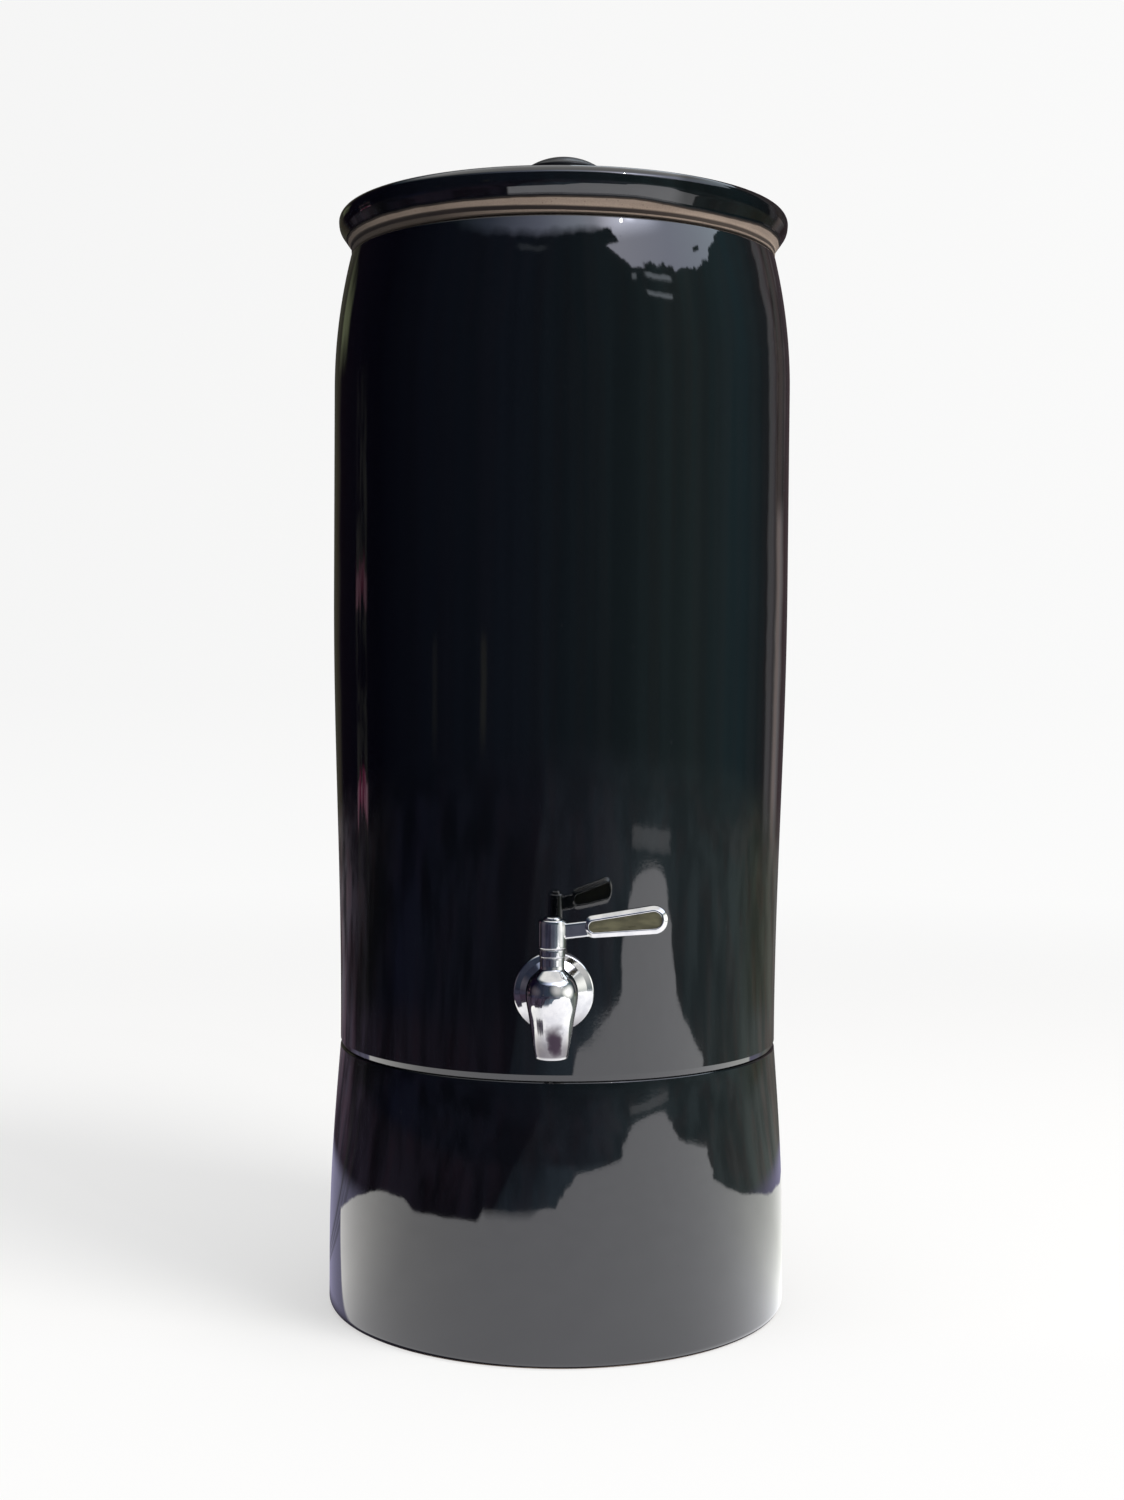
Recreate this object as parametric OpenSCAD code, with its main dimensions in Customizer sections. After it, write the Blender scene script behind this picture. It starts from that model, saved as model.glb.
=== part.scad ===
// Gravity water filter: a glazed stoneware crock on a ring stand, with a nested
// filter pot under the lid and a quarter-turn tap low on the front.
// Millimetres. +Z is up, the front is -Y, and the origin is on the floor at the
// crock's axis.

/* [Body] */
// Diameter of the crock at its belly, which sets every other width of the body
belly_d = 240; // [210:1:270]
// How far the waist, where the stand and the crock meet, is drawn in from the belly
waist_in = 4.5; // [2:0.5:8]
// How far the shoulder draws in from the belly to the mouth
mouth_in = 8.5; // [6:0.5:12]

/* [Stand] */
// Height of the ring stand
stand_h = 138; // [110:1:170]
// How much further out than the belly the stand's foot is
stand_flare = 1; // [0:0.5:8]
// Wall thickness of the stand
stand_wall = 9; // [7:0.5:12]
// Height of the straight part above the stand's foot
stand_straight_h = 30; // [15:1:60]
// Rounding of the stand's bottom edge
stand_foot_round = 4; // [1:0.5:4]

/* [Crock] */
// Height of the crock from its seat on the stand to its rim
crock_h = 414; // [380:1:450]
// Wall thickness of the crock
crock_wall = 8.5; // [7:0.5:10]
// Thickness of the crock's floor above the seam
crock_floor = 12; // [7:1:16]
// Rounding inside the crock, between its floor and its wall
floor_round = 8; // [4:1:12]
// Height of the straight waist above the seam
waist_h = 12; // [6:1:20]
// Height at which the belly reaches its full width
belly_h = 240; // [200:1:280]
// Length of the rounded shoulder under the rim
shoulder_len = 69; // [50:1:90]
// Depth of the foot ring that nests in the stand
foot_ring_h = 6; // [4:1:10]
// Width of the foot ring
foot_ring_w = 9; // [6:1:14]
// Gap between the foot ring and the stand
foot_ring_gap = 1.5; // [0.8:0.1:2]
// Rounding of the crock's bottom edge, the light line at the seam
seam_round = 3.5; // [1:0.5:4]

/* [Gallery] */
// Thickness of the rim beside the gallery
rim_t = 6.5; // [5:0.5:8]
// Width of the ledge that carries the filter pot
ledge_w = 6; // [4:0.5:8]
// Thickness of the ledge
ledge_t = 8; // [6:0.5:12]
// Gap between the top of the pot's flange and the rim
flange_drop = 1; // [0.5:0.1:2]

/* [Lid] */
// How far the lid's rolled edge overhangs the mouth
lid_overhang = 7; // [4:0.5:10]
// Height of the lid's edge above the crock's rim
lid_edge_h = 22; // [19:0.5:26]
// Height of the bare clay band at the bottom of the lid's edge
lid_foot_h = 4.5; // [3:0.5:6]
// Thickness of the lid's plate
lid_t = 9; // [7:0.5:11]
// Rise of the lid's top from its edge to the knob
lid_dome = 4.5; // [2:0.5:8]
// Width of the lid's seat on the rim
lid_seat_w = 8; // [6:0.5:10]
// Rounding of the rolled edge
lid_edge_round = 5; // [3:0.5:6]
// Depth of the locating ring below the seat
lid_ring_h = 10; // [6:1:16]
// Width of the locating ring
lid_ring_w = 6; // [4:0.5:8]
// Gap between the locating ring and the filter pot
lid_ring_gap = 1.5; // [1:0.1:2.5]
// Diameter of the knob
knob_d = 40; // [32:1:48]
// Height of the knob
knob_h = 27.5; // [22:0.5:34]
// Rise of the knob's crown above its rim
knob_crown = 6.2; // [2:0.1:8]
// Diameter of the knob's waist
knob_waist_d = 25; // [20:1:28]

/* [Filter pot] */
// Height of the filter pot
pot_h = 175; // [165:1:190]
// Wall thickness of the filter pot
pot_wall = 6; // [4:0.5:8]
// Floor thickness of the filter pot
pot_floor = 8; // [6:0.5:12]
// Thickness of the pot's flange
pot_flange_t = 6; // [5:0.5:8]
// Gap around the pot's flange
pot_flange_gap = 0.8; // [0.5:0.1:1.5]
// Gap between the pot and the ledge
pot_gap = 1.2; // [0.8:0.1:2]
// How much narrower the pot is at its floor, on the radius
pot_taper = 5; // [2:0.5:8]

/* [Ceramic dome] */
// Diameter of the ceramic dome
dome_d = 94; // [80:1:104]
// Height of the ceramic dome above its base plate
dome_h = 84; // [70:1:92]
// Wall thickness of the ceramic dome
dome_wall = 8; // [6:0.5:10]
// Thickness of the base plate under the dome
dome_base_t = 5; // [4:0.5:8]
// Height of the base plate's edge around the dome
dome_lip_h = 6; // [3:0.5:10]
// Width of the base plate's edge around the dome
dome_lip_w = 3; // [2:0.5:5]
// Diameter of the threaded stem
stem_d = 16; // [12:1:18]
// Bore of the threaded stem
stem_bore_d = 8; // [6:0.5:9]
// Length of the stem below the base plate
stem_l = 40; // [36:1:44]
// Thickness of the silicone washer under the base plate
washer_t = 3; // [2:0.5:4]
// Diameter of the silicone washer under the base plate
washer_d = 68; // [50:1:80]
// Thickness of the wing nut under the pot
pot_nut_t = 9; // [7:0.5:11]
// Diameter of the wing nut's hub
pot_nut_d = 30; // [26:1:36]
// Diameter over the nut's wings
pot_nut_wing_d = 50; // [40:1:56]
// Thickness of the nut's wings
pot_nut_wing_t = 5; // [3:0.5:7]

/* [Cartridge] */
// Outer diameter of the clear cartridge tube
tube_d = 74; // [64:1:84]
// Wall of the cartridge tube
tube_wall = 2.2; // [1.5:0.1:3]
// Thickness of the cartridge's cap and base
cap_t = 6; // [4:0.5:8]
// Depth of the skirt of the cap and of the base
cap_skirt_h = 12; // [8:0.5:16]
// Number of grip ribs round the cap
cap_ribs = 24; // [12:1:36]
// Number of slots in the cartridge's base
base_slots = 8; // [4:1:10]
// Width of the slots in the cartridge's base
base_slot_w = 5; // [3:0.5:6]
// Width of the skirt around the tube
cap_skirt_w = 2.4; // [2:0.1:4]
// Height of the threaded boss on the cap
boss_h = 18; // [15:0.5:20]
// Diameter of the threaded boss
boss_d = 30; // [26:1:36]
// Thickness of each felt pad
pad_t = 2; // [1:0.5:3]
// Depth of the activated carbon
carbon_h = 36; // [24:1:44]
// Depth of the zeolite
zeolite_h = 26; // [16:1:32]
// Depth of the mineral sand
mineral_h = 20; // [12:1:26]
// Depth of the silica sand
silica_h = 18; // [10:1:24]
// Depth of the mineral balls
balls_h = 18; // [12:1:24]

/* [Tap] */
// Height of the tap's shank above the crock's seat
tap_h = 44; // [38:1:60]
// Distance from the crock's face to the spout's axis
tap_reach = 46; // [40:1:56]
// Diameter of the round flange plate
flange_d = 38.6; // [34:0.2:44]
// Depth of the round flange plate
flange_t = 6.2; // [4.5:0.1:8]
// Thread diameter of the shank
shank_d = 15.8; // [14:0.1:16.4]
// Bore of the shank
shank_bore_d = 8; // [6:0.1:9]
// Thread pitch of the shank
shank_pitch = 1.5; // [1.25:0.25:2]
// Length of the shank beyond the nut
shank_tail = 6; // [3:0.5:12]
// Thickness of the tap's silicone washers
tap_washer_t = 2.5; // [1.5:0.1:3]
// Thickness of the tap's nut
tap_nut_t = 7; // [5:0.5:9]
// Width of the tap's nut across its flats
tap_nut_af = 24; // [21:0.5:26]
// Diameter of the spout's belly
spout_belly_d = 24.2; // [22:0.2:27]
// Diameter of the spout's mouth
spout_mouth_d = 15; // [14:0.2:17]
// Bore of the spout's mouth
spout_bore_d = 10.6; // [10.2:0.1:11]
// Length of the spout below the shank's axis
spout_drop = 23.5; // [20:0.5:30]
// Height of the spout's shoulder above the shank's axis
spout_shoulder_h = 15.5; // [13:0.5:18]
// Diameter of the tap's neck
neck_d = 11.3; // [10.8:0.1:13]
// Height of the neck's top above the shank's axis
neck_h = 23; // [21:0.5:27]
// Height of the bonnet ring
bonnet_h = 3.6; // [2.5:0.1:5]
// Diameter of the valve stem
valve_d = 8; // [7.4:0.1:8.2]
// Running clearance on the radius around the valve stem
valve_gap = 0.08; // [0.03:0.01:0.1]

/* [Lever] */
// Diameter of the lever's hub
hub_d = 12.8; // [12:0.1:15]
// Height of the lever's hub
hub_h = 13.2; // [11.5:0.1:16]
// Reach of the lever from the valve's axis to its tip
lever_l = 52.8; // [46:0.2:60]
// Distance from the valve's axis to the near end of the paddle
paddle_start = 14; // [12:0.2:18]
// Height of the paddle at its near end
paddle_near_h = 10.4; // [9:0.1:12]
// Height of the paddle at its tip
paddle_far_h = 13; // [10:0.1:15]
// Thickness of the paddle
paddle_t = 5.6; // [5:0.1:7]
// Width of the frame around the inlay
paddle_frame = 2.3; // [1.8:0.1:3]
// Upward tilt of the lever, degrees
lever_tilt = 7; // [0:0.5:10]
// Height of the lever's line above the middle of its hub
lever_rise = 1.3; // [0:0.1:2]
// Thickness of the arm between the hub and the paddle
arm_t = 4.2; // [3:0.1:5]
// Thickness of the inlay
inlay_t = 3.4; // [2:0.1:4]

/* [Hidden] */

$fn = 96;
eps = 0.01;
slip = 0.05; // clearance of parts that are pushed or screwed together
arc_steps = 6;

glaze = "#14181c";
steel = "#c8cacc";
silicone = "#e4e2dc";
white_ceramic = "#f2efe6";
plastic = "#2f6f9e";

// ---- Shared radii and heights ----
belly_r = belly_d / 2;
seam_r = belly_r - waist_in;
stand_r = belly_r + stand_flare;
stand_in_top_r = seam_r - stand_wall;
mouth_r = belly_r - mouth_in;
lid_r = mouth_r + lid_overhang;
shoulder_h = crock_h - shoulder_len;
rim_z = stand_h + crock_h;
rim_in_r = mouth_r - rim_t;
ledge_in_r = rim_in_r - ledge_w;
ledge_z = rim_z - pot_flange_t - flange_drop;
pot_top_z = ledge_z + pot_flange_t;
pot_r = ledge_in_r - pot_gap;
pot_bottom_z = pot_top_z - pot_h;
pot_floor_z = pot_bottom_z + pot_floor;
lid_top_z = rim_z + lid_edge_h + lid_dome;
tap_z = stand_h + tap_h;

// ---- Profile helpers ----
// Half the angle at b, between a and c
function half_angle(a, b, c) = acos((a - b) * (c - b) / norm(a - b) / norm(c - b)) / 2;

// One corner of an outline, rounded with radius r
function corner(a, b, c, r, n) =
    r <= 0 ? [b] :
    let (u = (a - b) / norm(a - b), v = (c - b) / norm(c - b),
         half = half_angle(a, b, c),
         centre = b + (u + v) / norm(u + v) * r / sin(half),
         start = (b + u * r / tan(half) - centre) / r,
         end = (b + v * r / tan(half) - centre) / r,
         sweep = 180 - 2 * half)
    [for (i = [0:n]) centre + r * (sin(sweep * (1 - i / n)) * start + sin(sweep * i / n) * end) / sin(sweep)];

// An outline of [x, y, rounding] points, with its corners rounded. Two roundings that
// meet on a short side share it.
function rounded(p, n = arc_steps) =
    let (m = len(p), xy = [for (q = p) [q.x, q.y]],
         reach = [for (i = [0:m - 1]) p[i].z <= 0 ? 0 :
             p[i].z / tan(half_angle(xy[(i + m - 1) % m], xy[i], xy[(i + 1) % m]))],
         share = [for (i = [0:m - 1])
             min(1, 0.98 * norm(xy[(i + 1) % m] - xy[i]) / max(eps, reach[i] + reach[(i + 1) % m]))])
    [for (i = [0:m - 1])
        each corner(xy[(i + m - 1) % m], xy[i], xy[(i + 1) % m],
            p[i].z * min(share[(i + m - 1) % m], share[i]), n)];

// Evenly spaced values from a to b, both included
function steps(a, b, n) = [for (i = [0:n]) a + (b - a) * i / n];
function reversed(v) = [for (i = [len(v) - 1:-1:0]) v[i]];

module turned(p) {
    rotate_extrude() polygon(rounded(p));
}

// A disc or ring standing on z
module ring(r_out, r_in, z, h) {
    translate([0, 0, z]) difference() {
        cylinder(r = r_out, h = h);
        translate([0, 0, -1]) cylinder(r = r_in, h = h + 2);
    }
}

// ---- Stand ----
// Outer radius of the stand at height z: straight, then drawn in to the seam
function stand_out_r(z) =
    z <= stand_straight_h ? stand_r :
    stand_r - (stand_r - seam_r) * (1 - cos(90 * (z - stand_straight_h) / (stand_h - stand_straight_h)));

module stand() {
    z = steps(stand_straight_h, stand_h, 10);
    lip = 1.5;
    color(glaze) turned(concat(
        [[stand_r - stand_wall, 0, lip], [stand_r, 0, stand_foot_round]],
        [for (i = [0:len(z) - 2]) [stand_out_r(z[i]), z[i], 0]],
        [[seam_r, stand_h, lip], [stand_in_top_r, stand_h, lip]],
        [for (i = [len(z) - 2:-1:0]) [stand_out_r(z[i]) - stand_wall, z[i], 0]]));
}

// ---- Crock ----
// Outer radius of the crock at height z above its seat
function crock_out_r(z) =
    z <= waist_h ? seam_r :
    z < belly_h ? seam_r + (belly_r - seam_r) * (1 - cos(180 * (z - waist_h) / (belly_h - waist_h))) / 2 :
    z <= shoulder_h ? belly_r :
    belly_r - (belly_r - mouth_r) * pow((z - shoulder_h) / shoulder_len, 2);

foot_ring_r = stand_in_top_r - foot_ring_gap;
tap_face_r = crock_out_r(tap_h);
spot_d = 34; // flat ground on the wall for the tap's outer washer
spot_in_d = 30; // flat ground inside for the inner washer and nut
// Depth of a flat of width w on a round of radius r
function sagitta(w, r) = r - sqrt(r * r - w * w / 4);
outer_flat_y = tap_face_r - sagitta(spot_d, tap_face_r);
inner_flat_y = tap_face_r - crock_wall + 0.2;
tap_hole_d = shank_d + 1;

module crock() {
    z0 = stand_h;
    ledge_h = ledge_z - stand_h;
    taper_top = ledge_h - ledge_t;
    taper_h = crock_out_r(taper_top) - crock_wall - ledge_in_r;
    wall_top = taper_top - taper_h;
    wall = concat(steps(waist_h, belly_h, 12), steps(shoulder_h, crock_h, 8));
    inner = reversed([for (z = wall) if (z < wall_top - 1 && z > crock_floor + 2 * floor_round) z]);
    foot_recess = 3;
    color(glaze) difference() {
        translate([0, 0, z0]) turned(concat(
            [[0, -foot_ring_h + foot_recess, 0],
             [foot_ring_r - foot_ring_w, -foot_ring_h + foot_recess, 1],
             [foot_ring_r - foot_ring_w, -foot_ring_h, 1],
             [foot_ring_r, -foot_ring_h, 1],
             [foot_ring_r, 0, 0],
             [seam_r, 0, seam_round]],
            [for (i = [0:len(wall) - 2]) [crock_out_r(wall[i]), wall[i], 0]],
            [[mouth_r, crock_h, 2],
             [rim_in_r, crock_h, 1.5],
             [rim_in_r, ledge_h, 1],
             [ledge_in_r, ledge_h, 1.5],
             [ledge_in_r, taper_top, 2],
             [crock_out_r(wall_top) - crock_wall, wall_top, 0]],
            [for (z = inner) [crock_out_r(z) - crock_wall, z, 0]],
            [[seam_r - crock_wall, crock_floor, floor_round],
             [0, crock_floor, 0]]));
        front(tap_face_r + 10) cylinder(d = tap_hole_d, h = crock_wall + 30);
        front(tap_face_r + 10) cylinder(d = spot_d, h = tap_face_r + 10 - outer_flat_y);
        front(inner_flat_y) cylinder(d = spot_in_d, h = 12);
    }
}

// Places its children on the tap's shank axis, y mm in front of the crock's axis.
// Their +Z runs into the crock.
module front(y) {
    translate([0, -y, tap_z]) rotate([-90, 0, 0]) children();
}

// ---- Tap ----
spout_y = tap_face_r + tap_reach;
washer_y = outer_flat_y + tap_washer_t;
flange_y = washer_y + flange_t;
nut_y = inner_flat_y - tap_washer_t - tap_nut_t;
shank_end_y = nut_y - shank_tail;
valve_r = valve_d / 2;
valve_bore_r = valve_r + valve_gap;
sleeve_r = spout_bore_d / 2 - 0.3;
sleeve_bottom = -6.5;
sleeve_top = 7.5;
neck_top_z = tap_z + neck_h;
hub_z = neck_top_z + bonnet_h + 0.2;
valve_port_d = 5.6;

module on_spout() {
    translate([0, -spout_y, 0]) children();
}

// Crests and roots of the shank's thread, as rings, from y0 back to y1
module shank_thread(length) {
    turns = floor(length / shank_pitch);
    root = shank_d / 2 - 0.6;
    tip = shank_d / 2;
    rotate_extrude() polygon(concat(
        [[0, 0]],
        [for (i = [0:turns - 1], k = [0:2])
            let (z = (i + [0, 0.25, 0.75][k]) * shank_pitch) [k == 1 || k == 2 ? tip : root, z]],
        [[root, turns * shank_pitch], [root, length], [0, length]]));
}

module tap_body() {
    belly_r_out = spout_belly_d / 2;
    mouth_r_out = spout_mouth_d / 2;
    neck_r = neck_d / 2;
    throat_r = 7.4;
    thread_y = washer_y - 1;
    color(steel) difference() {
        union() {
            // tulip-shaped spout, turned about the valve's axis
            on_spout() translate([0, 0, tap_z]) turned([
                [0, -spout_drop, 0],
                [mouth_r_out - 0.4, -spout_drop, 1],
                [mouth_r_out + 0.5, -spout_drop * 0.84, 4],
                [mouth_r_out + 1.2, -spout_drop * 0.5, 8],
                [belly_r_out + 0.3, spout_shoulder_h * 0.07, 9],
                [belly_r_out - 2.3, spout_shoulder_h * 0.68, 5],
                [neck_r, spout_shoulder_h, 3],
                [neck_r, neck_h, 0.4],
                [0, neck_h, 0]]);
            // throat between the spout and the flange plate
            front(spout_y) cylinder(r = throat_r, h = spout_y - flange_y - 3);
            front(flange_y + 3) cylinder(d = shank_d + 1.6, h = 3);
            front(flange_y + eps) cylinder(d = shank_d - 1.2, h = flange_y - thread_y + 1);
            front(thread_y) shank_thread(thread_y - shank_end_y);
        }
        // waterway
        front(spout_y) cylinder(d = shank_bore_d, h = spout_y - shank_end_y + 1);
        on_spout() {
            translate([0, 0, tap_z - spout_drop - 1])
                cylinder(d = spout_bore_d, h = spout_drop + sleeve_bottom + 1);
            translate([0, 0, tap_z + sleeve_bottom])
                cylinder(r = sleeve_r + slip, h = sleeve_top - sleeve_bottom);
            translate([0, 0, tap_z]) cylinder(r = valve_bore_r, h = neck_h + 1);
        }
    }
}

module tap_flange() {
    r = flange_d / 2;
    bore = shank_d / 2 + slip;
    color(steel) front(washer_y) mirror([0, 0, 1]) turned([
        [bore, 0, 0],
        [r, 0, 0.5],
        [r, 1.6, 0.7],
        [r - 3.5, 3.4, 4],
        [bore + 2.4, flange_t, 1],
        [bore, flange_t, 0]]);
}

module tap_outer_washer() {
    color(silicone) front(washer_y) ring(spot_d / 2 - 1, shank_d / 2 + slip, 0, tap_washer_t);
}

module tap_inner_washer() {
    color(silicone) front(inner_flat_y) ring(spot_in_d / 2 - 1, shank_d / 2 + slip, 0, tap_washer_t);
}

module tap_nut() {
    flat_r = tap_nut_af / 2;
    color(steel) front(inner_flat_y - tap_washer_t) difference() {
        intersection() {
            cylinder(r = flat_r / cos(30), h = tap_nut_t, $fn = 6);
            turned([[0, 0, 0], [flat_r, 0, 0], [flat_r / cos(30), 1.2, 0],
                [flat_r / cos(30), tap_nut_t - 1.2, 0], [flat_r, tap_nut_t, 0], [0, tap_nut_t, 0]]);
        }
        translate([0, 0, -1]) cylinder(d = shank_d + 2 * slip, h = tap_nut_t + 2);
    }
}

module bonnet_ring() {
    color(steel) on_spout() translate([0, 0, neck_top_z]) turned([
        [valve_bore_r, 0, 0],
        [neck_d / 2 + 0.3, 0, 0.3],
        [neck_d / 2 + 0.3, bonnet_h, 0.4],
        [valve_bore_r, bonnet_h, 0]]);
}

// Bush that the valve stem turns in, with one port facing the shank
module valve_sleeve() {
    color("white") on_spout() translate([0, 0, tap_z]) difference() {
        ring(sleeve_r, valve_bore_r, sleeve_bottom, sleeve_top - sleeve_bottom);
        rotate([-90, 0, 0]) cylinder(d = valve_port_d, h = sleeve_r + 2);
    }
}

// ---- Lever and valve stem: they turn together ----
stem_bottom = sleeve_bottom + 0.6;
stem_shoulder = hub_z - tap_z;
tang_w = 5;
tang_h = hub_h - 4.5;
screw_head_d = 8;
screw_d = 3;
ring_groove_r = valve_r - 1;
ring_wire_r = 0.48;
ring_heights = [neck_h - 10, neck_h - 4.5];

module valve_stem() {
    groove_h = 1.4;
    color(steel) on_spout() translate([0, 0, tap_z]) difference() {
        union() {
            translate([0, 0, stem_bottom]) cylinder(r = valve_r, h = stem_shoulder - stem_bottom);
            translate([-tang_w / 2, -tang_w / 2, stem_shoulder - eps]) cube([tang_w, tang_w, tang_h]);
        }
        // angled port: up the middle, then out of the side
        translate([0, 0, stem_bottom - 1]) cylinder(d = valve_port_d, h = 1 - stem_bottom);
        rotate([0, -90, 0]) cylinder(d = valve_port_d, h = valve_r + 1);
        for (z = ring_heights) ring(valve_r + 1, ring_groove_r, z - groove_h / 2, groove_h);
        translate([0, 0, stem_shoulder]) cylinder(d = screw_d, h = tang_h + 1);
    }
}

module stem_o_rings() {
    color("#1c1c1c") on_spout() for (z = ring_heights)
        translate([0, 0, tap_z + z]) rotate_extrude()
            translate([ring_groove_r + ring_wire_r + 0.02, 0]) circle(r = ring_wire_r, $fn = 24);
}

// Outline of two circles and the lines that touch both
function capsule(near, r1, far, r2, n = 12) =
    let (lean = asin((r2 - r1) / (far - near)))
    concat(
        [for (i = [0:n]) let (a = -90 - lean + (180 + 2 * lean) * i / n)
            [far + r2 * cos(a), r2 * sin(a)]],
        [for (i = [0:n]) let (a = 90 + lean + (180 - 2 * lean) * i / n)
            [near + r1 * cos(a), r1 * sin(a)]]);

arm_low = 4.2;
arm_high = 3;
paddle_near = paddle_start + paddle_near_h / 2;
paddle_far = lever_l - paddle_far_h / 2;
lever_z = hub_z + hub_h / 2 + lever_rise;

// Places a drawing of the lever's broad side upright, along +X, with its tilt
module along_lever(t) {
    on_spout() translate([0, 0, lever_z]) rotate([0, -lever_tilt, 0])
        rotate([90, 0, 0]) translate([0, 0, -t / 2]) linear_extrude(t) children();
}

module paddle_window(gap) {
    polygon(capsule(paddle_near, paddle_near_h / 2 - paddle_frame - gap,
        paddle_far, paddle_far_h / 2 - paddle_frame - gap));
}

module lever() {
    color(steel) difference() {
        union() {
            on_spout() translate([0, 0, hub_z]) turned([
                [0, 0, 0], [hub_d / 2, 0, 0.5], [hub_d / 2, hub_h, 0.9], [0, hub_h, 0]]);
            along_lever(paddle_t) polygon(capsule(paddle_near, paddle_near_h / 2, paddle_far, paddle_far_h / 2));
            along_lever(arm_t) polygon([[0, -arm_low], [paddle_start + paddle_frame, -arm_low],
                [paddle_start + paddle_frame, arm_high], [0, arm_high]]);
        }
        along_lever(paddle_t + 2) paddle_window(0);
        on_spout() {
            translate([-tang_w / 2 - slip, -tang_w / 2 - slip, hub_z - 1])
                cube([tang_w + 2 * slip, tang_w + 2 * slip, tang_h + 1.2]);
            translate([0, 0, hub_z]) cylinder(d = screw_d + 2 * slip, h = hub_h + 1);
        }
    }
}

module lever_inlay() {
    color("#6b6648") along_lever(inlay_t) paddle_window(slip);
}

module lever_screw() {
    head_h = 1.2;
    color(steel) on_spout() translate([0, 0, hub_z + hub_h]) {
        turned([[0, 0, 0], [screw_head_d / 2, 0, 0], [screw_head_d / 2, head_h, 0.9], [0, head_h, 0]]);
        translate([0, 0, -8]) cylinder(d = screw_d - 2 * slip, h = 8 + eps);
    }
}

// ---- Filter pot and what it holds ----
base_r = dome_d / 2 + dome_lip_w;
base_z = pot_floor_z + washer_t;
dome_z = base_z + dome_base_t;
nut_top_z = pot_bottom_z;
stem_end_z = base_z - stem_l;
boss_top_z = stem_end_z + boss_h - 4;
cap_top_z = boss_top_z - boss_h;
tube_r = tube_d / 2;
tube_in_r = tube_r - tube_wall;
tube_top_z = cap_top_z - cap_t;
media_h = carbon_h + zeolite_h + mineral_h + silica_h + balls_h + 6 * pad_t;
screen_t = 1;
media_bottom_z = tube_top_z - media_h;
tube_bottom_z = media_bottom_z - screen_t;

module filter_pot() {
    color(glaze) difference() {
        turned([
            [0, pot_bottom_z, 0],
            [pot_r - pot_taper, pot_bottom_z, 5],
            [pot_r, ledge_z, 0],
            [rim_in_r - pot_flange_gap, ledge_z, 1],
            [rim_in_r - pot_flange_gap, pot_top_z, 2],
            [pot_r - pot_wall, pot_top_z, 2],
            [pot_r - pot_taper - pot_wall, pot_floor_z, 10],
            [0, pot_floor_z, 0]]);
        translate([0, 0, pot_bottom_z - 1]) cylinder(d = stem_d + 1, h = pot_floor + 2);
    }
}

// Hollow dome of porous ceramic: a straight wall that closes in an ellipse
function dome_line(r, h) =
    let (straight = h * 0.42)
    [for (i = [0:12]) [r * cos(90 * i / 12), straight + (h - straight) * sin(90 * i / 12)]];

module ceramic_dome() {
    color(white_ceramic) translate([0, 0, dome_z]) difference() {
        rotate_extrude() polygon(concat([[0, 0], [dome_d / 2, 0]], dome_line(dome_d / 2, dome_h)));
        translate([0, 0, -1]) rotate_extrude() polygon(concat(
            [[0, 0], [dome_d / 2 - dome_wall, 0]],
            dome_line(dome_d / 2 - dome_wall, dome_h - dome_wall + 1)));
    }
}

module dome_base() {
    lip_r = dome_d / 2 + slip;
    color(plastic) difference() {
        union() {
            turned([
                [0, base_z, 0], [base_r, base_z, 1], [base_r, dome_z + dome_lip_h, 1],
                [lip_r, dome_z + dome_lip_h, 0.6], [lip_r, dome_z, 0], [0, dome_z, 0]]);
            translate([0, 0, stem_end_z]) cylinder(d = stem_d, h = stem_l + eps);
        }
        translate([0, 0, stem_end_z - 1]) cylinder(d = stem_bore_d, h = stem_l + dome_base_t + 2);
    }
}

module dome_washer() {
    color(silicone) ring(washer_d / 2, stem_d / 2 + slip, pot_floor_z, washer_t);
}

module pot_nut() {
    wing_start = (stem_d + pot_nut_d) / 4;
    color(plastic) difference() {
        union() {
            translate([0, 0, nut_top_z - pot_nut_t]) cylinder(d = pot_nut_d, h = pot_nut_t);
            for (a = [0:90:270]) rotate([0, 0, a])
                translate([wing_start, -pot_nut_wing_t / 2, nut_top_z - pot_nut_t])
                    cube([pot_nut_wing_d / 2 - wing_start, pot_nut_wing_t, pot_nut_t]);
        }
        translate([0, 0, nut_top_z - pot_nut_t - 1]) cylinder(d = stem_d + 2 * slip, h = pot_nut_t + 2);
    }
}

module cartridge_cap() {
    r = tube_r + cap_skirt_w;
    rib = 1.6;
    color(plastic) difference() {
        union() {
            turned([
                [0, tube_top_z, 0], [tube_r + slip, tube_top_z, 0],
                [tube_r + slip, tube_top_z - cap_skirt_h, 0], [r, tube_top_z - cap_skirt_h, 0.6],
                [r, cap_top_z, 2], [boss_d / 2, cap_top_z, 1.5], [boss_d / 2, boss_top_z, 1.2],
                [0, boss_top_z, 0]]);
            for (i = [1:cap_ribs]) rotate([0, 0, i * 360 / cap_ribs])
                translate([r - rib / 2, -rib / 2, tube_top_z - cap_skirt_h + 2])
                    cube([rib, rib, cap_skirt_h + cap_t - 6]);
        }
        translate([0, 0, stem_end_z - 3]) cylinder(d = stem_d + 2 * slip, h = boss_h + 4);
        translate([0, 0, tube_top_z - 1]) cylinder(d = stem_bore_d, h = cap_t + boss_h);
    }
}

// Ring in the bottom of the boss that seals against the end of the stem
module cartridge_seal() {
    color(silicone) ring(stem_d / 2 - slip, stem_bore_d / 2, stem_end_z - 3, 3);
}

module cartridge_tube() {
    color("#bfe0ee", 0.4) ring(tube_r, tube_in_r, tube_bottom_z, tube_top_z - tube_bottom_z);
}

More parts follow.
